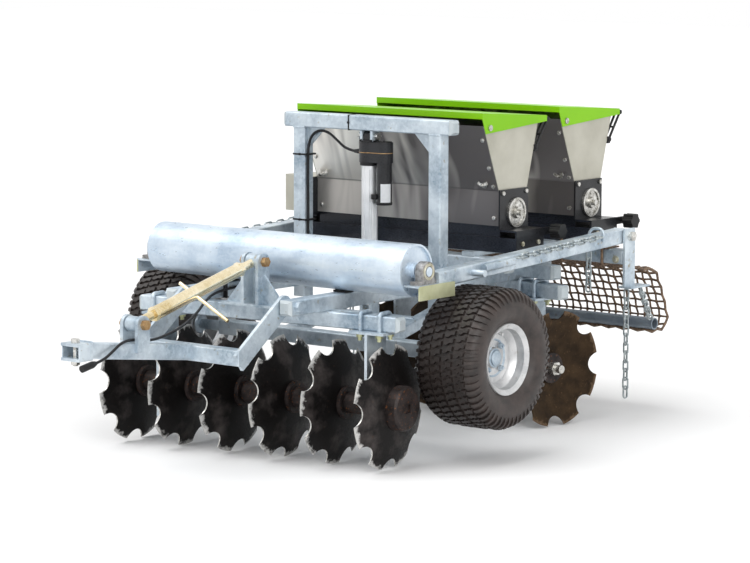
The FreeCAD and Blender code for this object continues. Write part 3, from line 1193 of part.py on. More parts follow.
def mat_openings():
    """Blocks that open the mat between its woven webs, square to each flat run of it."""
    pitch = (2 * MAT_HALF - MAT_RIB) / MAT_CELLS
    blocks = []
    for start, end in zip(MAT_LINE, MAT_LINE[1:]):
        run = Vector(0, end[0] - start[0], end[1] - start[1])
        rows = round(run.Length / MAT_CELL_LEN)
        if rows == 0:
            continue
        step = run.Length / rows
        turn = Rotation(Vector(1, 0, 0), math.degrees(math.atan2(run.z, run.y)))
        for row in range(rows):
            for cell in range(MAT_CELLS):
                block = box(0, pitch - MAT_RIB, MAT_RIB / 2, step - MAT_RIB / 2, -MAT_T, MAT_T)
                block.Placement = Placement(
                    Vector(MAT_RIB - MAT_HALF + cell * pitch, start[0],
                           start[1]) + turn.multVec(Vector(0, row * step, 0)),
                    turn)
                blocks.append(block)
    return blocks


def build_drag():
    """Folded woven mat behind the machine, the pipe in its rear fold and the bolts that hold it."""
    pipe = cyl((-MAT_HALF, PIPE_Y, PIPE_Z), (1, 0, 0), PIPE_R, 2 * MAT_HALF)
    node("drag_pipe", [pipe.cut(cyl((-MAT_HALF, PIPE_Y, PIPE_Z), (1, 0, 0), PIPE_R - PIPE_T, 2 * MAT_HALF))])
    node("drag_mat", [strip_yz(MAT_LINE, MAT_T, -MAT_HALF, MAT_HALF).cut(Part.makeCompound(mat_openings()))])
    bolts = []
    leg = TUBE / 2 + MAT_BOLT_R + FIT
    top = CROSS_Z + TUBE / 2
    for x in MAT_BOLTS_X:
        points = [(x, REAR_CROSS_Y + dy, CROSS_Z + dz) for dy, dz in
                  ((-leg, leg + MAT_BOLT_TAIL), (-leg, -leg), (leg, -leg), (leg, leg + MAT_BOLT_TAIL))]
        rod = round_rod(points, MAT_BOLT_R, MAT_BOLT_BEND / (2 * leg))[0]
        plate = box(x - MAT_PLATE_W / 2, x + MAT_PLATE_W / 2, REAR_CROSS_Y - leg - MAT_PLATE_LIP,
                    REAR_CROSS_Y + leg + MAT_PLATE_LIP, top, top + MAT_BOLT_R)
        nuts = [nut((x, REAR_CROSS_Y + dy, top + MAT_BOLT_R), (0, 0, 1), MAT_BOLT_R) for dy in (-leg, leg)]
        bolts.append(fuse([rod, plate] + nuts))
    node("mat_u_bolts", bolts)


def build_chains():
    foot = POST_Z0 - POST_FOOT_T
    posts = []
    arms = []
    for s in (-1, 1):
        posts += chain_run((s * POST_CHAIN_X, POST_CHAIN_Y, foot - GAP),
                           (s * POST_CHAIN_X, POST_CHAIN_Y, CHAIN_END_Z),
                           False)
        start, end = [(s * x, y, z) for x, y, z in PIPE_CHAIN]
        posts += chain_run(start, end, True)
        tail = arm_point(HOOK_Y, -TUBE / 2 - HOOK_R) - GAP
        x = s * (ARM_X - TUBE / 2 - HOOK_R)
        arms += chain_run((x, HOOK_Y, tail), (x, HOOK_Y, tail - TAIL_LEN), False)
    node("post_chains", posts)
    node("arm_chains", arms)


def main():
    build_chassis()
    build_hopper_stand()
    build_gang(FRONT_GANG)
    build_gang(REAR_GANG)
    build_beams()
    build_wheels()
    build_lift()
    build_portal()
    build_actuator()
    build_cable()
    build_drawbar()
    build_mast()
    build_top_link()
    build_roller()
    build_roller_arms()
    build_posts()
    build_hoppers()
    build_drag()
    build_chains()
    os.makedirs("parts", exist_ok=True)
    for name, shape in NODES.items():
        shape.exportStep("parts/" + name + ".step")
        room = shape.BoundBox
        print("%-20s %3d %s vol %.0f  x %.0f %.0f  y %.0f %.0f  z %.0f %.0f" % (
            name, len(shape.Solids), shape.isValid(), shape.Volume / 1000,
            room.XMin, room.XMax, room.YMin, room.YMax, room.ZMin, room.ZMax))


main()
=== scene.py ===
"""Towed seeder dressed for a studio picture: finishes, tyres, wheels, mat, chains and fittings.

Every length is in metres. Z is up, the hitch points along -Y and +X is the machine's left side.
"""

import logging
import math
from dataclasses import dataclass
from enum import Enum
from typing import Callable, Iterable, Sequence

import bmesh
import bpy
from mathutils import Matrix, Quaternion, Vector


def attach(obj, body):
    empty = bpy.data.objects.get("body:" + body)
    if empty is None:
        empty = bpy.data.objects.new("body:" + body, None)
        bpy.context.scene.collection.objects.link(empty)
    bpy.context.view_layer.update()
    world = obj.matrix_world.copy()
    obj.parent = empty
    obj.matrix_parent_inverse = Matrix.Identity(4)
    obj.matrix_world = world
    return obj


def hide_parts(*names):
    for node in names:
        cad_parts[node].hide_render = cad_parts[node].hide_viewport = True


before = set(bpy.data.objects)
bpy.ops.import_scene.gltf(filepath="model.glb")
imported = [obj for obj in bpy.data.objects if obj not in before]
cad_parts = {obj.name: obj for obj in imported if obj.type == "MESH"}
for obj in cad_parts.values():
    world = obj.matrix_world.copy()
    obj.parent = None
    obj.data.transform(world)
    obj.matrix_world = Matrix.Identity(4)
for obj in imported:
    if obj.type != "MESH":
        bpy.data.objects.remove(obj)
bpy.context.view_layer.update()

LOG = logging.getLogger("seeder")
Piece = bpy.types.Object
Socket = bpy.types.NodeSocket
Point = tuple[float, float, float]
Colour = tuple[float, float, float]
Line = tuple[tuple[float, float], ...]


# ------------------------------------------------------------------ places shared by the pieces
WHEEL_X = 0.625
AXLE_Z = 0.338
TYRE_R = 0.229
GANG_R = 0.200
FRONT_GANG = (0.025, -0.353, 0.200)
FRONT_YAW = math.radians(5.3)
REAR_GANG = (0.008, 0.749, 0.200)
REAR_YAW = math.radians(-10.0)
NECK_TOP = 0.830
HOPPER_Y = 0.479
HOPPER_PITCH = 0.442
HOPPERS = {"front": HOPPER_Y, "rear": HOPPER_Y + HOPPER_PITCH}
HOPPER_HALF = 0.392
ROLLER_Y = -0.237
ROLLER_Z = 0.631
PORTAL_Y = 0.200


class Side(Enum):
    """Side of the machine, by the sign of its X."""

    LEFT = 1.0
    RIGHT = -1.0


class Body(Enum):
    """Body that a piece rides on."""

    CHASSIS = "chassis"
    WHEEL_LEFT = "wheel_left"
    WHEEL_RIGHT = "wheel_right"
    ROLLER_SWING = "roller_swing"


# ------------------------------------------------------------------ finishes
class Nodes:
    """Node tree with short calls for new nodes."""

    def __init__(self, owner: bpy.types.Material | bpy.types.World) -> None:
        """Start from an empty tree.

        Args:
            owner: Material or world that has the tree.
        """
        owner.use_nodes = True
        self.tree = owner.node_tree
        self.tree.nodes.clear()

    def connect(self, value: object, socket: Socket) -> None:
        """Set an input, or link it to the socket that feeds it.

        Args:
            value: Plain value or socket.
            socket: Input.
        """
        if isinstance(value, Socket):
            self.tree.links.new(value, socket)
        else:
            socket.default_value = value

    def add(self, kind: str, links: dict | None = None, **settings: object) -> bpy.types.Node:
        """Add one node.

        Args:
            kind: Blender's name of the node type, without its ShaderNode.
            links: Input name or number, to a socket that feeds it or a plain value.
            settings: Properties to set on the node.

        Returns:
            The new node.
        """
        node = self.tree.nodes.new(f"ShaderNode{kind}")
        for key, value in settings.items():
            setattr(node, key, value)
        for key, value in (links or {}).items():
            self.connect(value, node.inputs[key])
        return node

    def math(self, operation: str, a: object, b: object = 0.0) -> Socket:
        """Result of one sum of two values or sockets."""
        return self.add("Math", {0: a, 1: b}, operation=operation).outputs[0]

    def looking_rays(self) -> Socket:
        """Socket that is 1 for camera, glossy and transmission rays.

        Returns:
            The socket.
        """
        rays = self.add("LightPath").outputs
        seen = self.math("MAXIMUM", rays["Is Camera Ray"], rays["Is Glossy Ray"])
        return self.math("MAXIMUM", seen, rays["Is Transmission Ray"])


class NodeSheet(Nodes):
    """Node tree of one material, with short calls for what the finishes use."""

    def __init__(self, name: str) -> None:
        """Start a material with a shader and an output.

        Args:
            name: Name of the material.
        """
        self.material = bpy.data.materials.new(name)
        super().__init__(self.material)
        self.output = self.add("OutputMaterial")
        self.shader = self.add("BsdfPrincipled")
        self.connect(self.shader.outputs["BSDF"], self.output.inputs["Surface"])
        self.place = self.add("TexCoord").outputs["Object"]

    def mapped(self, scale: Point, centre: Point = (0.0, 0.0, 0.0), turn: float = 0.0) -> Socket:
        """Object coordinates about a centre, turned about Z and scaled.

        Args:
            scale: Scale of each axis.
            centre: Point that becomes the origin.
            turn: Turn about Z in radians, undone by the mapping.

        Returns:
            The socket with the coordinates.
        """
        moved = self.add("Mapping", {"Vector": self.place, "Location": centre, "Rotation": (0.0, 0.0, turn)},
                         vector_type="TEXTURE")
        return self.add("Mapping", {"Vector": moved.outputs[0], "Scale": scale}).outputs[0]

    def radius(self, centre: Point, turn: float = 0.0) -> Socket:
        """Distance from an X axis through a centre, the axis turned about Z."""
        flat = self.mapped((0.0, 1.0, 1.0), centre, turn)
        return self.add("VectorMath", {0: flat}, operation="LENGTH").outputs["Value"]

    def along(self, axis: str) -> Socket:
        """Object coordinate along one axis."""
        return self.add("SeparateXYZ", {0: self.place}).outputs[axis]

    def noise(self, scale: float, detail: float = 4.0, stretch: Point = (1.0, 1.0, 1.0)) -> Socket:
        """Grey noise with so many features per metre, octaves and a scale of each axis."""
        return self.add("TexNoise", {"Vector": self.mapped(stretch), "Scale": scale, "Detail": detail,
                                     "Roughness": 0.6}).outputs[0]

    def ramp(self, value: Socket, low: float, high: float, to_low: float = 0.0,
             to_high: float = 1.0) -> Socket:
        """Clamped straight ramp that gives to_low at low and to_high at high."""
        return self.add("MapRange", {0: value, 1: low, 2: high, 3: to_low, 4: to_high}).outputs[0]

    def blend(self, factor: object, a: object, b: object) -> Socket:
        """Mix of two colours.

        Args:
            factor: Share of b, a value or a socket.
            a: Colour or socket.
            b: Colour or socket.

        Returns:
            The mixed colour's socket.
        """
        links = {0: factor}
        for number, value in ((6, a), (7, b)):
            links[number] = value if isinstance(value, Socket) else (*value, 1.0)
        return self.add("Mix", links, data_type="RGBA").outputs[2]

    def bump(self, height: Socket, strength: float, distance: float) -> None:
        """Feed the shader's normal from a height, with a distance in metres for a height of one."""
        node = self.add("Bump", {"Height": height, "Strength": strength, "Distance": distance})
        self.feed(Normal=node.outputs[0])

    def feed(self, **sockets: object) -> None:
        """Set or link the shader's inputs, each named with _ for a space."""
        for key, value in sockets.items():
            self.connect(value, self.shader.inputs[key.replace("_", " ")])


@dataclass(frozen=True)
class Finish:
    """Plain finish: two tones in soft clouds, a finer grain, and spots of dirt or rust.

    Attributes:
        name: Name of the material.
        tone: Main colour.
        second: Colour of the clouds.
        dirt: Colour of the spots.
        metallic: Share of metal.
        roughness: Lowest roughness.
        spread: How much rougher the grain makes it.
        cloud: Clouds per metre.
        grain: Grains per metre.
        stretch: Scale of the grain along each axis.
        dirt_from: Noise value above which dirt shows, 1 for none.
        relief: Height of the grain in metres.
        coat: Share of clear coat.
        specular: Strength of the plain shine.
        veil: How far the grain draws the colour to the clouds' colour.
    """

    name: str
    tone: Colour
    second: Colour
    dirt: Colour = (0.10, 0.06, 0.03)
    metallic: float = 0.0
    roughness: float = 0.45
    spread: float = 0.2
    cloud: float = 9.0
    grain: float = 180.0
    stretch: Point = (1.0, 1.0, 1.0)
    dirt_from: float = 0.62
    relief: float = 0.0002
    coat: float = 0.0
    specular: float = 0.5
    veil: float = 0.35

    def tones(self, sheet: NodeSheet) -> Socket:
        """Colour of the clean surface."""
        return sheet.blend(sheet.ramp(sheet.noise(self.cloud), 0.36, 0.64), self.tone, self.second)

    def make(self) -> bpy.types.Material:
        """Build the material.

        Returns:
            The new material.
        """
        sheet = NodeSheet(self.name)
        grain = sheet.noise(self.grain, 3.0, self.stretch)
        spots = sheet.ramp(sheet.noise(self.cloud * 5.0, 8.0), self.dirt_from, self.dirt_from + 0.12)
        colour = sheet.blend(sheet.ramp(grain, 0.3, 0.7, 0.0, self.veil), self.tones(sheet), self.second)
        colour = sheet.blend(spots, colour, self.dirt)
        rough = sheet.ramp(grain, 0.3, 0.7, self.roughness, self.roughness + self.spread)
        sheet.feed(Base_Color=colour, Metallic=self.metallic, Coat_Weight=self.coat,
                   Specular_IOR_Level=self.specular, Roughness=rough)
        sheet.bump(grain, 0.6, self.relief)
        return sheet.material


@dataclass(frozen=True)
class Galvanised(Finish):
    """Hot-dip zinc: bluish grey crystals over the clouds.

    Attributes:
        crystal: Crystals per metre.
        spangle: How far a crystal stands out from the clouds.
    """

    crystal: float = 75.0
    spangle: float = 0.2

    def tones(self, sheet: NodeSheet) -> Socket:
        """Clouded zinc with crystals.

        Args:
            sheet: Node tree that is being made.

        Returns:
            The colour's socket.
        """
        cells = sheet.add("TexVoronoi", {"Vector": sheet.mapped((1.0, 1.0, 1.0)), "Scale": self.crystal})
        split = sheet.add("SeparateColor", {0: cells.outputs["Color"]}).outputs[0]
        clouds = sheet.ramp(sheet.noise(self.cloud, 7.0), 0.34, 0.66)
        base = sheet.blend(clouds, self.tone, self.second)
        bright = tuple(min(1.0, c * 1.28) for c in self.second)
        return sheet.blend(sheet.ramp(split, 0.45, 1.0, 0.0, self.spangle), base, bright)


@dataclass(frozen=True)
class Blade(Finish):
    """Rolled blade steel: dark, with scuffed ground edges near the rim.

    Attributes:
        centre: Middle of the gang.
        turn: Turn of the gang about Z in radians.
        edge: Colour of the ground edge.
        bare: Cloud level from which the scuffed colour shows.
        ground: How far the ground edge reaches in from the rim, from its outer to its inner end.
    """

    centre: Point = (0.0, 0.0, 0.0)
    turn: float = 0.0
    edge: Colour = (0.5, 0.5, 0.48)
    bare: float = 0.35
    ground: tuple[float, float] = (0.003, 0.014)

    def tones(self, sheet: NodeSheet) -> Socket:
        """Dark steel that turns bright at its rim.

        Args:
            sheet: Node tree that is being made.

        Returns:
            The colour's socket.
        """
        radius = sheet.radius(self.centre, self.turn)
        scuffed = sheet.math("ADD", radius, sheet.ramp(sheet.noise(55.0, 6.0), 0.2, 0.8, -0.016, 0.016))
        clouds = sheet.ramp(sheet.noise(self.cloud, 8.0), self.bare, self.bare + 0.3)
        rim = sheet.ramp(scuffed, GANG_R - self.ground[1], GANG_R - self.ground[0], 0.0, 0.9)
        return sheet.blend(rim, sheet.blend(clouds, self.tone, self.second), self.edge)


@dataclass(frozen=True)
class Sheet(Finish):
    """Rolled stainless sheet with painted reflections: broad bright and dark waves of painted reflection,
    darker towards the machine's left, and painted shade below the neck.

    Attributes:
        lean: How much darker the painted reflection grows per metre to the left.
        neck: How far the painted shade darkens the sheet below the neck.
    """

    lean: float = 0.55
    neck: float = 0.6

    def tones(self, sheet: NodeSheet) -> Socket:
        """Dark sheet with tall bright waves of painted reflection, and painted shade below the neck.

        Args:
            sheet: Node tree that is being made.

        Returns:
            The colour's socket.
        """
        # Painted reflection: stretched noise blends the dark tone into near-white streaks, dimmed towards the
        # machine's left.
        waves = sheet.add("TexNoise", {"Vector": sheet.mapped((3.6, 1.0, 1.2)), "Scale": 1.7, "Detail": 2.0,
                                       "Roughness": 0.4, "Distortion": 1.3}).outputs[0]
        leaning = sheet.math("SUBTRACT", waves, sheet.math("MULTIPLY", sheet.along("X"), self.lean))
        wave = sheet.blend(sheet.ramp(leaning, 0.36, 0.64), self.tone, self.second)
        height = sheet.along("Z")
        # Painted shade: below the neck the painted reflection is drawn towards a darker tone.
        neck = sheet.blend(self.neck, wave, tuple(channel * 0.8 for channel in self.tone))
        return sheet.blend(sheet.ramp(height, NECK_TOP - 0.002, NECK_TOP + 0.002), neck, wave)


@dataclass(frozen=True)
class Rubber(Finish):
    """Tyre rubber: dust on its sidewalls and brown soil between the blocks."""

    def tones(self, sheet: NodeSheet) -> Socket:
        """Black rubber, browner where it lies lower than the blocks' tops.

        Args:
            sheet: Node tree that is being made.

        Returns:
            The colour's socket.
        """
        radius = sheet.radius((0.0, 0.0, AXLE_Z))
        dusty = sheet.math("MULTIPLY", sheet.ramp(sheet.noise(26.0, 8.0), 0.3, 0.7),
                           sheet.ramp(radius, TYRE_R - 0.002, TYRE_R - 0.012, 0.25, 1.0))
        return sheet.blend(dusty, self.tone, self.second)


class Paint:
    """The machine's finishes by name, and the CAD nodes that wear each."""

    FINISHES: tuple[Finish, ...] = (
        Galvanised("galvanised", (0.185, 0.265, 0.345), (0.66, 0.735, 0.79), (0.29, 0.25, 0.16),
                   0.45, 0.28, 0.22, 8.0, 120.0, dirt_from=0.62, crystal=90.0, spangle=0.22),
        Galvanised("galvanised_pipe", (0.36, 0.47, 0.60), (0.76, 0.85, 0.93), (0.34, 0.32, 0.28),
                   0.55, 0.26, 0.2, 5.0, 90.0, (0.3, 1.0, 1.0), dirt_from=0.70, crystal=120.0, spangle=0.12),
        Galvanised("chain_zinc", (0.20, 0.24, 0.26), (0.50, 0.55, 0.56), (0.16, 0.13, 0.09),
                   0.6, 0.30, 0.2, 60.0, 260.0, dirt_from=0.60, crystal=160.0),
        Galvanised("dull_zinc_pipe", (0.16, 0.20, 0.25), (0.30, 0.35, 0.40), (0.16, 0.12, 0.08),
                   0.6, 0.40, 0.2, 9.0, 120.0),
        Finish("tube_cap_grey", (0.44, 0.50, 0.53), (0.56, 0.61, 0.63), (0.30, 0.29, 0.25),
               0.1, 0.42, 0.15, 18.0, 240.0),
        Blade("front_blade", (0.0025, 0.002, 0.002), (0.095, 0.080, 0.076), (0.070, 0.038, 0.022),
              0.25, 0.30, 0.3, 9.0, 150.0, dirt_from=0.66, specular=0.2, centre=FRONT_GANG, turn=FRONT_YAW,
              edge=(0.66, 0.65, 0.63), veil=0.08, bare=0.50),
        Blade("rear_blade", (0.012, 0.007, 0.0035), (0.052, 0.031, 0.015), (0.105, 0.060, 0.028),
              0.1, 0.44, 0.3, 16.0, 190.0, dirt_from=0.60, specular=0.12, centre=REAR_GANG, turn=REAR_YAW,
              edge=(0.16, 0.105, 0.065)),
        Finish("black_casting", (0.005, 0.004, 0.004), (0.045, 0.034, 0.032), (0.19, 0.070, 0.022),
               0.3, 0.34, 0.3, 22.0, 260.0, dirt_from=0.58, relief=0.0006, specular=0.3),
        Finish("yellow_zinc", (0.46, 0.43, 0.30), (0.64, 0.62, 0.52), (0.20, 0.13, 0.06),
               0.8, 0.30, 0.2, 60.0, 300.0, dirt_from=0.66),
        Finish("yellow_zinc_tube", (0.66, 0.51, 0.25), (0.99, 0.90, 0.68), (0.34, 0.22, 0.08),
               0.90, 0.20, 0.06, 9.0, 160.0, dirt_from=0.68, relief=0.00002),
        Finish("bright_steel", (0.26, 0.25, 0.22), (0.74, 0.73, 0.70), (0.22, 0.15, 0.08),
               0.9, 0.20, 0.16, 70.0, 300.0, dirt_from=0.68),
        Finish("bearing_iron", (0.15, 0.145, 0.14), (0.46, 0.45, 0.44), (0.14, 0.075, 0.035),
               0.7, 0.30, 0.2, 60.0, 300.0, dirt_from=0.60),
        # Painted reflection: the near-white second colour makes the bright streaks, and the sheet carries
        # painted shade below the neck.
        Sheet("stainless_painted_reflections", (0.185, 0.172, 0.172), (0.97, 0.93, 0.86), (0.22, 0.19, 0.15),
              0.50, 0.28, 0.06, 3.0, 260.0, (1.0, 1.0, 0.05), 0.76, 0.0, veil=0.0),
        Finish("sheet_rear", (0.46, 0.44, 0.40), (0.70, 0.67, 0.62), (0.40, 0.36, 0.30),
               0.55, 0.32, 0.10, 2.2, 300.0, (1.6, 1.6, 0.5), 0.74, 0.0, veil=0.1),
        Finish("sheet_end", (0.42, 0.405, 0.335), (0.54, 0.525, 0.45), (0.34, 0.30, 0.23),
               0.45, 0.34, 0.16, 5.0, 300.0, (1.0, 1.0, 0.4), 0.72, 0.0001),
        Finish("green_coat", (0.215, 0.550, 0.002), (0.250, 0.600, 0.004), (0.16, 0.34, 0.02),
               0.0, 0.30, 0.1, 3.0, 500.0, dirt_from=0.75, relief=0.00008, coat=0.1, specular=0.2),
        Finish("black_paint", (0.006, 0.006, 0.007), (0.018, 0.019, 0.022), (0.07, 0.055, 0.04),
               0.1, 0.24, 0.2, 10.0, 300.0, dirt_from=0.70, coat=0.2, specular=0.3),
        # Glossier black paint for the hopper bases' front faces, with a lighter bluish tone painted in as
        # reflection.
        Finish("black_gloss_painted_reflection", (0.008, 0.0085, 0.012), (0.040, 0.045, 0.060), (0.08, 0.07, 0.06),
               0.4, 0.22, 0.14, 5.0, 300.0, (0.4, 1.0, 3.0), 0.72, coat=0.2, specular=0.3),
        Finish("black_plastic", (0.005, 0.005, 0.006), (0.014, 0.014, 0.015), (0.06, 0.055, 0.05),
               0.0, 0.34, 0.2, 30.0, 700.0, dirt_from=0.70, relief=0.00015, specular=0.3),
        Finish("aluminium", (0.70, 0.71, 0.72), (0.86, 0.87, 0.88), (0.50, 0.50, 0.48),
               0.6, 0.30, 0.14, 8.0, 500.0, (1.0, 1.0, 0.04), 0.76, 0.00005),
        Finish("polished_rod", (0.70, 0.70, 0.70), (0.82, 0.82, 0.82), (0.30, 0.28, 0.24),
               1.0, 0.10, 0.1, 8.0, 400.0, dirt_from=0.74, relief=0.00002),
        Finish("rusty_brown", (0.040, 0.022, 0.014), (0.250, 0.165, 0.105), (0.33, 0.17, 0.07),
               0.3, 0.44, 0.3, 75.0, 320.0, dirt_from=0.60, relief=0.0005),
        Finish("green_zinc", (0.43, 0.44, 0.23), (0.60, 0.61, 0.40), (0.30, 0.25, 0.12),
               0.6, 0.30, 0.2, 11.0, 60.0, dirt_from=0.74),
        Finish("orange_zinc", (0.28, 0.14, 0.05), (0.46, 0.30, 0.14), (0.15, 0.07, 0.03),
               0.6, 0.34, 0.2, 60.0, 300.0, dirt_from=0.62),
        Finish("wheel_silver", (0.44, 0.45, 0.46), (0.70, 0.70, 0.70), (0.30, 0.25, 0.19),
               0.7, 0.28, 0.2, 12.0, 260.0, dirt_from=0.62),
        Finish("blank_plate", (0.66, 0.68, 0.70), (0.78, 0.79, 0.80), (0.50, 0.50, 0.48),
               0.1, 0.4, 0.1, 20.0, 300.0, dirt_from=0.72),
        Rubber("tyre_rubber", (0.008, 0.0065, 0.006), (0.054, 0.039, 0.034), (0.075, 0.053, 0.043),
               0.0, 0.38, 0.2, 26.0, 420.0, dirt_from=0.66, relief=0.0003, specular=0.5),
        Finish("cable_black", (0.007, 0.007, 0.008), (0.016, 0.016, 0.018), (0.06, 0.055, 0.05),
               0.0, 0.40, 0.15, 40.0, 500.0, dirt_from=0.72, specular=0.3),
    )
    WEARERS: dict[str, tuple[str, ...]] = {
        "galvanised": ("chassis_frame", "front_gang_beam", "rear_gang_beam", "front_hangers", "rear_hangers",
                       "portal", "drawbar", "link_mast", "roller_arm_left", "roller_arm_right", "rear_posts",
                       "lift_frame", "hopper_stand", "gang_u_bolts", "drawbar_bolts"),
        "chain_zinc": ("post_chains", "arm_chains"),
        "galvanised_pipe": ("roller",),
        "dull_zinc_pipe": ("drag_pipe",),
        "tube_cap_grey": ("tube_caps",),
        "front_blade": ("front_discs",),
        "rear_blade": ("rear_discs",),
        "black_casting": ("front_spools", "rear_spools", "front_shaft"),
        "bright_steel": ("rear_shaft", "lift_pivot_pins", "actuator_pin", "hitch_pin", "swing_pins",
                         "lid_pins", "flange_bearings"),
        "bearing_iron": ("roller_bearings",),
        "orange_zinc": ("link_pins",),
        "yellow_zinc_tube": ("top_link_screws", "top_link_body", "top_link_bar"),
        "stainless_painted_reflections": ("hopper_front", "hopper_rear"),
        "sheet_end": ("control_box",),
        "green_coat": ("lid_front", "lid_rear"),
        "black_paint": ("hopper_end_plates", "hopper_bases", "actuator_housing"),
        "black_plastic": ("adjuster_knobs", "latches_front", "latches_rear", "roller_rests", "cable_plug"),
        "aluminium": ("actuator_tube",),
        "polished_rod": ("actuator_rod",),
        "rusty_brown": ("drag_mat", "mat_u_bolts"),
        "tyre_rubber": ("tyre_left", "tyre_right"),
        "wheel_silver": ("rim_left", "rim_right"),
        "cable_black": ("supply_cable",),
    }

    def __init__(self) -> None:
        """Make every finish and put it on the CAD nodes that wear it."""
        self.materials = {finish.name: finish.make() for finish in self.FINISHES}
        for name, nodes in self.WEARERS.items():
            for node in nodes:
                self.put(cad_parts[node], name)

    def put(self, piece: Piece, name: str) -> None:
        """Give a piece one finish all over."""
        piece.data.materials.clear()
        piece.data.materials.append(self.materials[name])

    def put_on_faces(self, piece: Piece, name: str, test: Callable[[Vector, Vector], bool]) -> None:
        """Give some faces of a piece a further finish.

        Args:
            piece: Piece that has a finish already.
            name: Name of the further finish.
            test: True for a face with this middle and this normal.
        """
        piece.data.materials.append(self.materials[name])
        for face in piece.data.polygons:
            if test(face.center, face.normal):
                face.material_index = len(piece.data.materials) - 1

    def install(self, name: str, parts: Sequence[Piece], finish: str, body: Body, slot: str,
                *nodes: str) -> Piece:
        """Join parts into one piece, dress it, hang it on its body and report it.

        Args:
            name: Name of the piece.
            parts: Its parts.
            finish: Name of its finish.
            body: Body that it rides on.
            slot: Material slot; not used.
            nodes: CAD nodes that it replaces.

        Returns:
            The piece.
        """
        piece = Bench.join(name, parts)
        self.put(piece, finish)
        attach(piece, body.value)
        if nodes:
            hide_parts(*nodes)
        LOG.info("%s: %d faces on %s", piece.name, len(getattr(piece.data, "polygons", ())), body.value)
        return piece


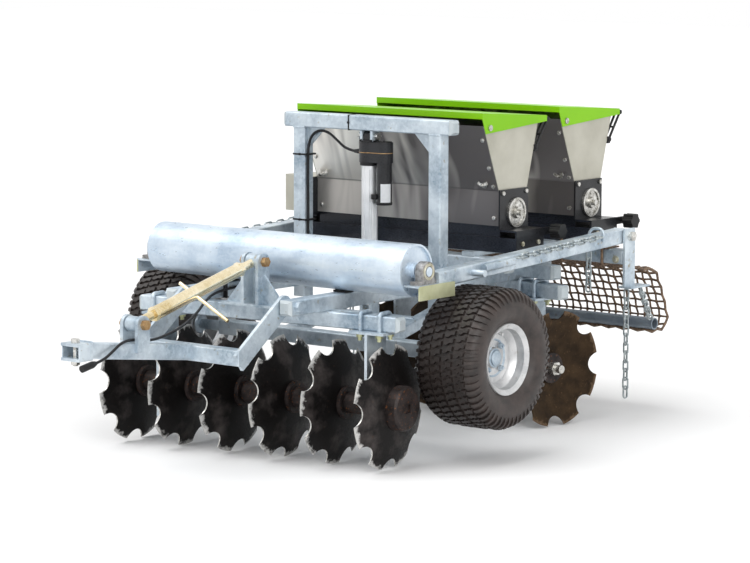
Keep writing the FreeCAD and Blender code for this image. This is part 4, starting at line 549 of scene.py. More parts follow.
# ------------------------------------------------------------------ steps of modelling
class Bench:
    """Steps that the pieces are modelled with."""

    @staticmethod
    def pick(pieces: Iterable[Piece] = ()) -> None:
        """Leave edit mode and select these pieces alone, the last of them active.

        Args:
            pieces: Pieces to select.
        """
        if bpy.context.mode != "OBJECT":
            Bench.leave()
        bpy.ops.object.select_all(action="DESELECT")
        for piece in pieces:
            piece.select_set(True)
            bpy.context.view_layer.objects.active = piece

    @staticmethod
    def edit() -> None:
        """Enter edit mode with all of the active piece selected."""
        bpy.ops.object.mode_set(mode="EDIT")
        bpy.ops.mesh.select_all(action="SELECT")

    @staticmethod
    def leave() -> None:
        """Go back to object mode."""
        bpy.ops.object.mode_set(mode="OBJECT")

    @staticmethod
    def reshape(piece: Piece, move: Callable[[bmesh.types.BMVert], None]) -> None:
        """Move every vertex of the piece in edit mode.

        Args:
            piece: Piece that is being edited.
            move: Changes one vertex.
        """
        mesh = bmesh.from_edit_mesh(piece.data)
        for vert in mesh.verts:
            move(vert)
        bmesh.update_edit_mesh(piece.data)

    @staticmethod
    def call(piece: Piece, name: str) -> Piece:
        """Name a piece and its mesh.

        Args:
            piece: Piece to name.
            name: Name of the piece.

        Returns:
            The same piece.
        """
        piece.name = name
        piece.data.name = name
        return piece

    @staticmethod
    def named(name: str) -> Piece:
        """Name the new primitive and apply its place, turn and scale to its mesh.

        Args:
            name: Name of the piece.

        Returns:
            The piece.
        """
        piece = Bench.call(bpy.context.active_object, name)
        Bench.pick([piece])
        bpy.ops.object.transform_apply(location=True, rotation=True, scale=True)
        return piece

    @staticmethod
    def modify(piece: Piece, kind: str, **settings: object) -> Piece:
        """Add a modifier and apply it.

        Args:
            piece: Piece to change.
            kind: Blender's name of the modifier type.
            settings: Properties to set on it.

        Returns:
            The same piece.
        """
        Bench.pick([piece])
        modifier = piece.modifiers.new(kind.title(), kind)
        for key, value in settings.items():
            setattr(modifier, key, value)
        bpy.ops.object.modifier_apply(modifier=modifier.name)
        return piece

    @staticmethod
    def middle(low: Point, high: Point) -> list[float]:
        """Point halfway between two corners."""
        return [(a + b) / 2 for a, b in zip(low, high)]

    @staticmethod
    def cube(name: str, middle: Point, size: Point, turn: Point = (0.0, 0.0, 0.0)) -> Piece:
        """Plain block.

        Args:
            name: Name of the piece.
            middle: Its middle.
            size: Its length along each axis.
            turn: Its Euler angles in radians.

        Returns:
            The piece.
        """
        Bench.pick()
        bpy.ops.mesh.primitive_cube_add(size=1.0, location=middle)
        bpy.context.active_object.scale = size
        bpy.context.active_object.rotation_euler = turn
        return Bench.named(name)

    @staticmethod
    def block(name: str, low: Point, high: Point, edge: float) -> Piece:
        """Block with rounded edges.

        Args:
            name: Name of the piece.
            low: Lowest corner.
            high: Highest corner.
            edge: Width of the rounding.

        Returns:
            The piece.
        """
        piece = Bench.cube(name, Bench.middle(low, high), [b - a for a, b in zip(low, high)])
        return Bench.modify(piece, "BEVEL", width=edge, segments=2, limit_method="ANGLE")

    @staticmethod
    def rod(name: str, start: Point, end: Point, radius: float, sides: int = 16, edge: float = 0.0) -> Piece:
        """Round rod between two points, its rims eased.

        Args:
            name: Name of the piece.
            start: Middle of one end.
            end: Middle of the other end.
            radius: Radius of the rod.
            sides: Number of its sides.
            edge: Width of the eased rims, 0 for none.

        Returns:
            The piece.
        """
        Bench.pick()
        a, b = Vector(start), Vector(end)
        bpy.ops.mesh.primitive_cylinder_add(vertices=sides, radius=radius, depth=(b - a).length,
                                            location=(a + b) / 2,
                                            rotation=(b - a).to_track_quat("Z", "Y").to_euler())
        piece = Bench.named(name)
        if edge:
            Bench.modify(piece, "BEVEL", width=edge, segments=2, limit_method="ANGLE",
                         angle_limit=math.radians(50))
        return Bench.smooth(piece)

    @staticmethod
    def smooth(piece: Piece, angle: float = 35.0) -> Piece:
        """Shade a piece smooth up to an angle in degrees.

        Args:
            piece: Piece to shade.
            angle: Largest smooth angle.

        Returns:
            The same piece.
        """
        Bench.pick([piece])
        bpy.ops.object.shade_smooth_by_angle(angle=math.radians(angle))
        return piece

    @staticmethod
    def line(name: str, points: Sequence[Point]) -> Piece:
        """Open chain of edges through points, drawn out from one vertex.

        Args:
            name: Name of the piece.
            points: Points of the line.

        Returns:
            The piece.
        """
        Bench.pick()
        bpy.ops.mesh.primitive_plane_add(size=0.01, location=points[0])
        piece = Bench.named(name)
        Bench.edit()
        bpy.ops.mesh.merge(type="CENTER")
        for before, after in zip(points, points[1:]):
            step = [b - a for a, b in zip(before, after)]
            bpy.ops.mesh.extrude_region_move(TRANSFORM_OT_translate={"value": step})
        Bench.leave()
        return piece

    @staticmethod
    def turned(name: str, profile: Sequence[tuple[float, float]], centre: Point, steps: int,
               closed: bool = True) -> Piece:
        """Shape turned about an X axis.

        Args:
            name: Name of the piece.
            profile: (x, radius) points, x out from the centre.
            centre: Point that the axis passes through.
            steps: Number of steps round.
            closed: Whether the profile's last point joins its first.

        Returns:
            The piece.
        """
        x, y, z = centre
        points = [(x + px, y, z + radius) for px, radius in profile]
        piece = Bench.line(name, points + points[:1] if closed else points)
        Bench.edit()
        bpy.ops.mesh.spin(steps=steps, angle=2 * math.pi, center=centre, axis=(1.0, 0.0, 0.0))
        bpy.ops.mesh.select_all(action="SELECT")
        bpy.ops.mesh.remove_doubles(threshold=0.00002)
        bpy.ops.mesh.normals_make_consistent(inside=False)
        Bench.leave()
        return Bench.smooth(piece)

    @staticmethod
    def copy(piece: Piece, place: Matrix) -> Piece:
        """Copy a piece with its own mesh and put it elsewhere.

        Args:
            piece: Piece to copy.
            place: Move from the piece to its copy.

        Returns:
            The copy.
        """
        twin = piece.copy()
        twin.data = piece.data.copy()
        bpy.context.scene.collection.objects.link(twin)
        twin.data.transform(place)
        return twin

    @staticmethod
    def join(name: str, pieces: Sequence[Piece]) -> Piece:
        """Join pieces into one.

        Args:
            name: Name of the joined piece.
            pieces: Pieces to join.

        Returns:
            The joined piece.
        """
        Bench.pick(pieces)
        if len(pieces) > 1:
            bpy.ops.object.join()
        return Bench.call(bpy.context.active_object, name)

    @staticmethod
    def about(point: Point, turn: Matrix) -> Matrix:
        """Turn that leaves a point where it is."""
        to = Matrix.Translation(point)
        return to @ turn @ to.inverted()


# ------------------------------------------------------------------ studio and supply cable
@dataclass
class Studio:
    """Camera, floor and lamps.

    Attributes:
        target: Point that the camera looks at.
        azimuth: Camera's turn about Z in degrees, 0 looking along +Y.
        elevation: Its height in degrees.
        distance: Its distance from the target.
        shift: Small move across its view.
        lens: Focal length in millimetres.
        sensor: Width of the sensor in millimetres.
        depth: Farthest distance that it sees.
        roll: Turn about its own axis in degrees.
        floor_size: Width of the floor.
        floor_z: Height of the floor, just below the machine.
        floor_lift: Light that the floor adds to what falls on it.
        sky: Place on the ramp and colour of the sky's lower and upper end.
        sky_strength: Strength of the sky that lights the object.
        lamps: Name, place, angle in degrees and strength of each sun.
    """

    target: Point = (0.0, 0.232, 0.5085)
    azimuth: float = 38.38
    elevation: float = 7.17
    distance: float = 10.157
    shift: Point = (-0.0012, -0.0004, 0.0)
    lens: float = 144.0
    sensor: float = 36.0
    depth: float = 60.0
    roll: float = 0.147
    floor_size: float = 60.0
    floor_z: float = -0.001
    floor_lift: float = 0.05
    sky: tuple[tuple[float, Colour], ...] = ((0.0, (0.34, 0.35, 0.37)), (0.75, (1.0, 1.0, 1.0)))
    sky_strength: float = 0.64
    lamps: tuple[tuple[str, Point, float, float], ...] = (
        ("key", (-1.2, -1.9, 5.0), 56.0, 1.75), ("fill", (5.0, -2.5, 3.0), 40.0, 1.2))

    @staticmethod
    def stand(name: str, data: bpy.types.ID, place: Vector, turn: Quaternion) -> Piece:
        """Put a camera or lamp in the scene.

        Args:
            name: Its name.
            data: Its data.
            place: Its place.
            turn: Its turn.

        Returns:
            The object.
        """
        thing = bpy.data.objects.new(name, data)
        thing.location = place
        thing.rotation_mode = "QUATERNION"
        thing.rotation_quaternion = turn
        bpy.context.scene.collection.objects.link(thing)
        return thing

    def make_camera(self) -> None:
        """Make the camera and use it for the scene."""
        a, e = math.radians(self.azimuth), math.radians(self.elevation)
        back = Vector((math.sin(a) * math.cos(e), -math.cos(a) * math.cos(e), math.sin(e)))
        roll = Matrix.Rotation(math.radians(self.roll), 3, "Z").to_quaternion()
        turn = (-back).to_track_quat("-Z", "Y") @ roll
        data = bpy.data.cameras.new("studio_camera")
        data.lens = self.lens
        data.sensor_width = self.sensor
        data.clip_end = self.depth
        place = Vector(self.target) + back * self.distance + turn @ Vector(self.shift)
        bpy.context.scene.camera = self.stand("studio_camera", data, place, turn)

    def floor_material(self) -> bpy.types.Material:
        """Make the floor: matt and pale, lifted to white for every ray that looks at it.

        Returns:
            The material.
        """
        sheet = NodeSheet("studio_floor")
        pale = sheet.blend(sheet.noise(0.4), (0.88, 0.88, 0.88), (0.90, 0.90, 0.90))
        sheet.feed(Base_Color=pale, Roughness=0.95, Specular_IOR_Level=0.0)
        lift = sheet.math("MULTIPLY", sheet.looking_rays(), self.floor_lift)
        glow = sheet.add("Emission", {"Strength": lift})
        both = sheet.add("AddShader", {0: sheet.shader.outputs[0], 1: glow.outputs[0]})
        sheet.connect(both.outputs[0], sheet.output.inputs["Surface"])
        return sheet.material

    def make_floor(self) -> None:
        """Lay the floor, wide enough to pass behind the machine."""
        Bench.pick()
        bpy.ops.mesh.primitive_plane_add(size=self.floor_size, location=(0.0, 0.0, self.floor_z))
        floor = Bench.named("studio_floor")
        floor.data.materials.append(self.floor_material())

    def make_world(self) -> None:
        """White behind the object, and a soft bright sky over a darker horizon for its light."""
        world = bpy.data.worlds.new("studio_world")
        bpy.context.scene.world = world
        nodes = Nodes(world)
        up = nodes.add("SeparateXYZ", {0: nodes.add("TexCoord").outputs["Generated"]}).outputs["Z"]
        ramp = nodes.add("ValToRGB", {0: up})
        for element, (place, colour) in zip(ramp.color_ramp.elements, self.sky):
            element.position = place
            element.color = (*colour, 1.0)
        sky = nodes.add("Background", {0: ramp.outputs[0], 1: self.sky_strength})
        seen = nodes.add("Background", {0: (1.0, 1.0, 1.0, 1.0)})
        mix = nodes.add("MixShader", {0: nodes.looking_rays(), 1: sky.outputs[0], 2: seen.outputs[0]})
        nodes.connect(mix.outputs[0], nodes.add("OutputWorld").inputs[0])

    def make_lamps(self) -> None:
        """Hang the broad soft suns: a key ahead and above, and a fill on the machine's left."""
        for name, place, angle, power in self.lamps:
            data = bpy.data.lights.new(name, "SUN")
            data.angle = math.radians(angle)
            data.energy = power
            self.stand(name, data, place, (-Vector(place)).to_track_quat("-Z", "Y"))

    def build(self) -> None:
        """Make the camera, floor, world and lamps."""
        self.make_camera()
        self.make_floor()
        self.make_world()
        self.make_lamps()
        bpy.context.scene.view_settings.view_transform = "Standard"


@dataclass
class SupplyCable:
    """Cable from the actuator along the frame to the plug at the hitch.

    Attributes:
        diameter: Outer diameter.
        route: Points from the gland to the plug.
        length: Length along the route.
    """

    diameter: float = 0.009
    route: tuple[Point, ...] = (
        (-0.064, 0.200, 0.950), (-0.100, 0.197, 0.955), (-0.133, 0.192, 0.982), (-0.170, 0.190, 1.009),
        (-0.208, 0.188, 1.0145), (-0.240, 0.188, 0.999), (-0.256, 0.188, 0.967), (-0.260, 0.189, 0.925),
        (-0.260, 0.188, 0.835), (-0.259, 0.189, 0.745), (-0.260, 0.188, 0.660), (-0.257, 0.186, 0.597),
        (-0.240, 0.172, 0.561), (-0.207, 0.137, 0.548), (-0.196, 0.080, 0.531), (-0.207, 0.005, 0.521),
        (-0.208, -0.090, 0.520), (-0.207, -0.190, 0.521), (-0.206, -0.290, 0.519), (-0.190, -0.380, 0.513),
        (-0.150, -0.468, 0.498), (-0.113, -0.540, 0.477), (-0.084, -0.625, 0.453), (-0.054, -0.710, 0.441),
        (-0.034, -0.790, 0.432), (-0.016, -0.865, 0.429), (0.003, -0.940, 0.441), (0.018, -1.000, 0.449),
        (0.033, -1.056, 0.447), (0.043, -1.105, 0.427), (0.046, -1.146, 0.407), (0.045, -1.182, 0.400))
    length: float = 2.071

    def build(self, paint: Paint) -> None:
        """Lay the cable.

        Args:
            paint: Finishes.
        """
        data = bpy.data.curves.new("supply_cable_line", "CURVE")
        data.dimensions = "3D"
        data.resolution_u = 12
        data.bevel_depth = self.diameter / 2
        data.bevel_resolution = 5
        data.use_fill_caps = True
        spline = data.splines.new("NURBS")
        spline.points.add(len(self.route) - 1)
        for point, place in zip(spline.points, self.route):
            point.co = (*place, 1.0)
        spline.order_u = 3
        spline.use_endpoint_u = True
        cable = bpy.data.objects.new("supply_cable_line", data)
        bpy.context.scene.collection.objects.link(cable)
        paint.install(cable.name, [cable], "cable_black", Body.CHASSIS, "black_plastic", "supply_cable")
        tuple(self.route[0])


# ------------------------------------------------------------------ wheels
@dataclass
class Wheel:
    """One of the two wheels, or a part of it.

    Attributes:
        side: Side of the machine.
    """

    side: Side

    @property
    def centre(self) -> Point:
        """Middle of the wheel."""
        return self.side.value * WHEEL_X, 0.0, AXLE_Z

    @property
    def body(self) -> Body:
        """Body of the wheel."""
        return Body[f"WHEEL_{self.side.name}"]

    @property
    def end(self) -> str:
        """End of the names of the wheel's pieces."""
        return self.side.name.lower()


@dataclass
class Tyre(Wheel):
    """Turf tyre: carcass with raised interlocking blocks and ribbed shoulders.

    Attributes:
        blocks: Blocks round the tyre in each row.
        rows: Middle x of each row of blocks with the height of its tops.
        depth: Depth of the tread.
        width: Length of a block across the tyre.
        length: Length of a block round the tyre.
        step: How far one half of a block lies ahead of the other.
        taper: Size of a block's top against its foot.
        cuts: Where a block's step lies across it.
        tilt: Tilt of the outer rows in radians.
        half: (x, radius) of the carcass from the inner bead to the crown.
        inner: (x, radius) of its inside.
        spine: (x, radius) of a shoulder rib's top, from the tread down.
        base: (x, radius) of its foot.
        rib: Half-width of the rib's foot at each of these.
        crest: Width of the rib's top against its foot.
        lean: How far the rib's lower end lies ahead of its upper end.
    """

    blocks: int = 56
    rows: Line = ((-0.066, 0.2262), (-0.022, 0.2288), (0.022, 0.2288), (0.066, 0.2262))
    depth: float = 0.008
    width: float = 0.037
    length: float = 0.0155
    step: float = 0.0042
    taper: float = 0.93
    cuts: tuple[float, float] = (-0.0045, 0.0045)
    tilt: float = 0.075
    half: Line = (
        (0.085, 0.1020), (0.092, 0.1080), (0.096, 0.1175), (0.099, 0.1215), (0.1085, 0.1300),
        (0.1165, 0.1450), (0.1195, 0.1620), (0.1190, 0.1780), (0.1150, 0.1930), (0.1080, 0.2050),
        (0.0960, 0.2140), (0.0740, 0.2185), (0.0370, 0.2208), (0.0, 0.2214))
    inner: Line = ((0.070, 0.1020), (0.100, 0.1620), (0.092, 0.2020))
    spine: Line = (
        (0.088, 0.2235), (0.100, 0.2200), (0.1105, 0.2120), (0.1172, 0.2000), (0.1190, 0.1870))
    base: Line = (
        (0.088, 0.2150), (0.098, 0.2120), (0.1075, 0.2045), (0.1140, 0.1940), (0.1165, 0.1850))
    rib: tuple[float, ...] = (0.0070, 0.0064, 0.0052, 0.0042, 0.0030)
    crest: float = 0.86
    lean: float = 0.006

    def carcass(self) -> Piece:
        """Spin the tyre's body.

        Returns:
            The body.
        """
        half, inner = list(self.half), list(self.inner)
        profile = [(-x, r) for x, r in half] + half[-2::-1] + inner + [(-x, r) for x, r in inner[::-1]]
        return Bench.turned("carcass", profile, self.centre, 112)

    def block(self, x: float, top: float, phase: float) -> Piece:
        """Model one stepped tread block.

        Args:
            x: Middle of the block, out from the tyre's middle.
            top: Radius of its top.
            phase: Angle round the tyre in radians.

        Returns:
            The block.
        """
        place = (self.side.value * WHEEL_X + x, 0.0, AXLE_Z + top - self.depth / 2)

        def stagger(vert: bmesh.types.BMVert) -> None:
            """Push the two halves of the block apart and taper its top.

            Args:
                vert: Vertex of the block.
            """
            vert.co.y += self.step if vert.co.x > place[0] else -self.step
            if vert.co.z > place[2]:
                vert.co.x = place[0] + (vert.co.x - place[0]) * self.taper
                vert.co.y *= self.taper

        piece = Bench.cube("block", place, (self.width, self.length, self.depth))
        Bench.edit()
        for cut in self.cuts:
            bpy.ops.mesh.select_all(action="SELECT")
            bpy.ops.mesh.bisect(plane_co=(place[0] + cut, 0.0, 0.0), plane_no=(1.0, 0.0, 0.0))
        Bench.reshape(piece, stagger)
        Bench.leave()
        tilt = -math.copysign(self.tilt, x) if abs(x) > self.width else 0.0
        piece.data.transform(Bench.about(place, Matrix.Rotation(tilt, 4, "Y")))
        piece.data.transform(Bench.about(self.centre, Matrix.Rotation(phase, 4, "X")))
        return piece

    def shoulder(self, out: float, phase: float) -> Piece:
        """Model one shoulder rib that runs down the sidewall's edge.

        Args:
            out: +1 or -1 for the sidewall.
            phase: Angle round the tyre in radians.

        Returns:
            The rib.
        """
        x0 = self.side.value * WHEEL_X
        last = len(self.rib) - 1

        def bend(vert: bmesh.types.BMVert) -> None:
            """Bend the straight strip to the rib.

            Args:
                vert: Vertex of the strip.
            """
            step = round((vert.co.x - x0 + 0.5) * last)
            upper = vert.co.z > AXLE_Z + 0.005
            x, radius = (self.spine if upper else self.base)[step]
            lean = self.lean * (step / last) ** 2
            vert.co.y = math.copysign(self.rib[step] * (self.crest if upper else 1.0), vert.co.y) + lean * out
            vert.co.x = x0 + out * x
            vert.co.z = AXLE_Z + radius

        Bench.pick()
        bpy.ops.mesh.primitive_grid_add(x_subdivisions=last, y_subdivisions=1, size=1.0, location=self.centre)
        piece = Bench.named("shoulder")
        Bench.edit()
        bpy.ops.mesh.extrude_region_move(TRANSFORM_OT_translate={"value": (0.0, 0.0, 0.01)})
        Bench.reshape(piece, bend)
        bpy.ops.mesh.select_all(action="SELECT")
        bpy.ops.mesh.normals_make_consistent(inside=False)
        Bench.leave()
        piece.data.transform(Bench.about(self.centre, Matrix.Rotation(phase, 4, "X")))
        return piece

    def build(self, paint: Paint) -> None:
        """Build the tyre in place of the CAD tyre.

        Args:
            paint: Finishes.
        """
        pitch = 2 * math.pi / self.blocks
        pieces = [self.block(x, top, pitch / 2 * (i % 2)) for i, (x, top) in enumerate(self.rows)]
        pieces += [self.shoulder(out, pitch / 2) for out in (-1.0, 1.0)]
        ring = [Bench.join("tread", pieces)]
        for i in range(1, self.blocks):
            ring.append(Bench.copy(ring[0], Bench.about(self.centre, Matrix.Rotation(pitch * i, 4, "X"))))
        tyre = Bench.join(f"turf_tyre_{self.end}", [Bench.join("tread", ring), self.carcass()])
        paint.install(tyre.name, [Bench.smooth(tyre, 28.0)], "tyre_rubber", self.body, "tyre_rubber",
                      f"tyre_{self.end}")


@dataclass
class Rim(Wheel):
    """Deep-dish wheel with its hub, cap, nuts and valve.

    Attributes:
        nuts: Number of wheel nuts.
        nut_circle: Radius that they stand on.
        face: Where they stand, out from the wheel's middle.
        nut: Height and radius of a nut.
        stud: Height and radius of a stud.
        valve: (x, z) of the valve's foot and tip, from the wheel's middle.
        valve_r: Radius of the valve.
        front: x from which the nuts, studs and cap lie.
        reach: Radius inside which they lie.
        outer: (x, radius) of the barrel's outside, outwards.
        inner: (x, radius) of its inside and the disc, inwards.
        cap: (x, radius) of the hub with its cap, outwards.
    """

    nuts: int = 4
    nut_circle: float = 0.050
    face: float = 0.0385
    nut: tuple[float, float] = (0.012, 0.0100)
    stud: tuple[float, float] = (0.018, 0.0052)
    valve: Line = ((0.052, 0.084), (0.078, 0.078))
    valve_r: float = 0.0050
    front: float = 0.040
    reach: float = 0.062
    outer: Line = (
        (-0.100, 0.1150), (-0.0965, 0.1170), (-0.0940, 0.1120), (-0.0880, 0.1020), (-0.062, 0.1010),
        (-0.048, 0.0860), (0.046, 0.0860), (0.060, 0.1010), (0.0880, 0.1020), (0.0940, 0.1120),
        (0.0965, 0.1170), (0.100, 0.1150))
    inner: Line = (
        (0.0970, 0.1095), (0.0915, 0.0985), (0.0640, 0.0975), (0.0500, 0.0825), (0.0440, 0.0800),
        (0.0425, 0.0620), (0.0385, 0.0560), (0.0385, 0.0340), (0.0345, 0.0340), (0.0345, 0.0580),
        (0.0385, 0.0640), (0.0395, 0.0820), (-0.0500, 0.0820), (-0.0640, 0.0975), (-0.0915, 0.0985))
    cap: Line = (
        (-0.046, 0.0), (-0.046, 0.030), (-0.042, 0.034), (0.030, 0.034), (0.047, 0.0310), (0.049, 0.0260),
        (0.054, 0.0255), (0.0572, 0.0215), (0.0580, 0.0140), (0.0580, 0.0))

    def turned(self, name: str, profile: Sequence[tuple[float, float]], steps: int, closed: bool) -> Piece:
        """Part turned about the axle from a profile that points outwards."""
        return Bench.turned(name, [(self.side.value * x, r) for x, r in profile], self.centre, steps, closed)

    def fittings(self) -> list[Piece]:
        """Model the nuts on their studs and the valve.

        Returns:
            The fittings.
        """
        s = self.side.value
        out = []
        face = s * (WHEEL_X + self.face)
        for i in range(self.nuts):
            a = 2 * math.pi * (i + 0.5) / self.nuts
            y, z = self.nut_circle * math.cos(a), AXLE_Z + self.nut_circle * math.sin(a)
            for name, (height, radius), sides, edge in (("nut", self.nut, 6, 0.0012),
                                                        ("stud", self.stud, 12, 0.0010)):
                out.append(Bench.rod(name, (face, y, z), (face + s * height, y, z), radius, sides, edge))
        foot, tip = ((s * (WHEEL_X + x), 0.0, AXLE_Z + z) for x, z in self.valve)
        out.append(Bench.rod("valve", foot, tip, self.valve_r, 12, 0.001))
        return out

    def on_fitting(self, middle: Vector, normal: Vector) -> bool:
        """Whether a face with this middle is on the nuts, studs or cap."""
        off = middle - Vector(self.centre)
        return abs(off.x) > self.front and math.hypot(off.y, off.z) < self.reach

    def build(self, paint: Paint) -> None:
        """Build the wheel in place of the CAD rim.

        Args:
            paint: Finishes.
        """
        shell = Bench.smooth(self.turned("shell", self.outer + self.inner, 96, True), 32.0)
        parts = [shell, self.turned("hub", self.cap, 40, False), *self.fittings()]
        wheel = paint.install(f"dished_wheel_{self.end}", parts, "wheel_silver", self.body, "rim_paint",
                              f"rim_{self.end}")
        paint.put_on_faces(wheel, "galvanised", self.on_fitting)


# ------------------------------------------------------------------ mat and chains
@dataclass
class DragMat:
    """Woven steel mat folded behind the machine.

    Attributes:
        half: Half of its width.
        line: Middle line of its fold, as (y, z).
        cells: Cells across its width.
        cell: Length of a cell along the fold.
        strand: Thickness of a strand.
        weave: How far the strands pass over and under each other.
        edge: Width of the strands' eased edges.
    """

    half: float = 0.524
    line: Line = (
        (0.9060, 0.5545), (1.0880, 0.5090), (1.1350, 0.5090), (1.1620, 0.4900), (1.2020, 0.4180),
        (1.2380, 0.3300), (1.2345, 0.3080), (1.2130, 0.2880), (1.1420, 0.2870))
    cells: int = 34
    cell: float = 0.030
    strand: float = 0.0128
    weave: float = 0.0036
    edge: float = 0.0012

    def stations(self) -> list[tuple[Vector, Vector]]:
        """Even steps along the fold.

        Returns:
            Each step's place and its upward normal.
        """
        points = [Vector((0.0, y, z)) for y, z in self.line]
        lengths = [(b - a).length for a, b in zip(points, points[1:])]
        count = round(sum(lengths) / self.cell)
        out = []
        for i in range(count + 1):
            far = sum(lengths) * i / count
            for a, b, run in zip(points, points[1:], lengths):
                if far <= run + 1e-9:
                    along = (b - a).normalized()
                    out.append((a.lerp(b, far / run), Vector((0.0, -along.z, along.y))))
                    break
                far -= run
        return out

    def build(self, paint: Paint) -> None:
        """Weave the mat.

        Args:
            paint: Finishes.
        """
        steps = self.stations()
        Bench.pick()
        bpy.ops.mesh.primitive_grid_add(x_subdivisions=self.cells, y_subdivisions=len(steps) - 1, size=1.0,
                                        location=(0.0, 0.0, 0.0))
        mat = Bench.named("woven_mat")
        for vert in mat.data.vertices:
            column = round((vert.co.x + 0.5) * self.cells)
            row = round((vert.co.y + 0.5) * (len(steps) - 1))
            place, normal = steps[row]
            place = place + normal * (self.weave if (column + row) % 2 else -self.weave)
            vert.co = (self.half * (2 * column / self.cells - 1), place.y, place.z)
        Bench.modify(mat, "WIREFRAME", thickness=self.strand, use_boundary=True, use_even_offset=False,
                     use_relative_offset=False)
        Bench.modify(mat, "BEVEL", width=self.edge, segments=1, limit_method="ANGLE",
                     angle_limit=math.radians(40))
        paint.install(mat.name, [Bench.smooth(mat, 50.0)], "rusty_brown", Body.CHASSIS, "rusty_steel",
                      "drag_mat")


@dataclass
class Chains:
    """Welded chains of the mat: hanging, to the pipe, along the arms and their tails.

    Attributes:
        wire: Radius of a link's wire.
        inner: Inner half-length of a link.
        half_width: Half-width of a link at its wire's middle.
        pitch: Largest pitch of two links.
        sway: How far a link turns off the straight run, in radians.
        fixed: Outer end of the first and the last link of each chain on a post, on the machine's left, and
            1 where the first link stands on edge.
        carried: The same for the chains on an arm.
    """

    wire: float = 0.0034
    inner: float = 0.0170
    half_width: float = 0.0094
    pitch: float = 0.0337
    sway: float = 0.12
    fixed: tuple[tuple[Point, Point, int], ...] = (
        ((0.604, 0.855, 0.4737), (0.604, 0.855, 0.089), 0),
        ((0.604, 0.9398, 0.4669), (0.524, 1.1306, 0.3266), 1))
    carried: tuple[tuple[Point, Point, int], ...] = (
        ((0.540, 0.717, 0.6144), (0.540, 0.717, 0.4654), 0),
        ((0.6050, 0.200, 0.6360), (0.6060, 0.700, 0.6640), 0))

    def link(self) -> Piece:
        """Model one link along X at the origin: a torus drawn out lengthwise.

        Returns:
            The link.
        """
        Bench.pick()
        bpy.ops.mesh.primitive_torus_add(major_segments=12, minor_segments=6, major_radius=self.half_width,
                                         minor_radius=self.wire, rotation=(0.0, 0.0, math.radians(15)))
        link = Bench.named("chain_link")
        reach = self.inner + self.wire - self.half_width
        Bench.edit()
        for sign in (-1.0, 1.0):
            bpy.ops.mesh.select_all(action="DESELECT")
            mesh = bmesh.from_edit_mesh(link.data)
            for vert in mesh.verts:
                vert.select = vert.co.x * sign > 0.0001
            mesh.select_flush_mode()
            bmesh.update_edit_mesh(link.data)
            bpy.ops.transform.translate(value=(sign * reach, 0.0, 0.0))
        Bench.leave()
        return Bench.smooth(link, 60.0)

    def run(self, link: Piece, start: Point, end: Point, turned: int) -> list[Piece]:
        """Copy the link from start to end, each turned from the one before.

        Args:
            link: Model link.
            start: Outer end of the first link.
            end: Outer end of the last link.
            turned: 1 where the first link stands on edge.

        Returns:
            The links.
        """
        a, b = Vector(start), Vector(end)
        outer = self.inner + 2 * self.wire
        count = 1 + math.ceil(((b - a).length - 2 * outer) / self.pitch - 1e-6)
        step = ((b - a).length - 2 * outer) / (count - 1)
        along = (b - a).normalized()
        level = Vector((0.0, 0.0, 1.0)).cross(along)
        across = level.normalized() if level.length > 0.1 else Vector((1.0, 0.0, 0.0))
        turn = Matrix((along, across, along.cross(across))).transposed().to_4x4()
        links = []
        for i in range(count):
            edge = Matrix.Rotation(math.pi / 2 * ((i + turned) % 2) + self.sway * math.sin(2.4 * i), 4, "X")
            place = Matrix.Translation(a + along * (outer + step * i))
            links.append(Bench.copy(link, place @ turn @ edge))
        return links

    def build(self, paint: Paint) -> None:
        """Build the chains in place of the CAD links.

        Args:
            paint: Finishes.
        """
        link = self.link()
        for name, chains, body in (("post_chains", self.fixed, Body.CHASSIS),
                                   ("arm_chains", self.carried, Body.ROLLER_SWING)):
            links = []
            for side in Side:
                for start, end, turned in chains:
                    a, b = ((side.value * x, y, z) for x, y, z in (start, end))
                    links += self.run(link, a, b, turned)
            paint.install(f"welded_{name}", links, "chain_zinc", body, "galvanised_steel", name)
        bpy.data.objects.remove(link)


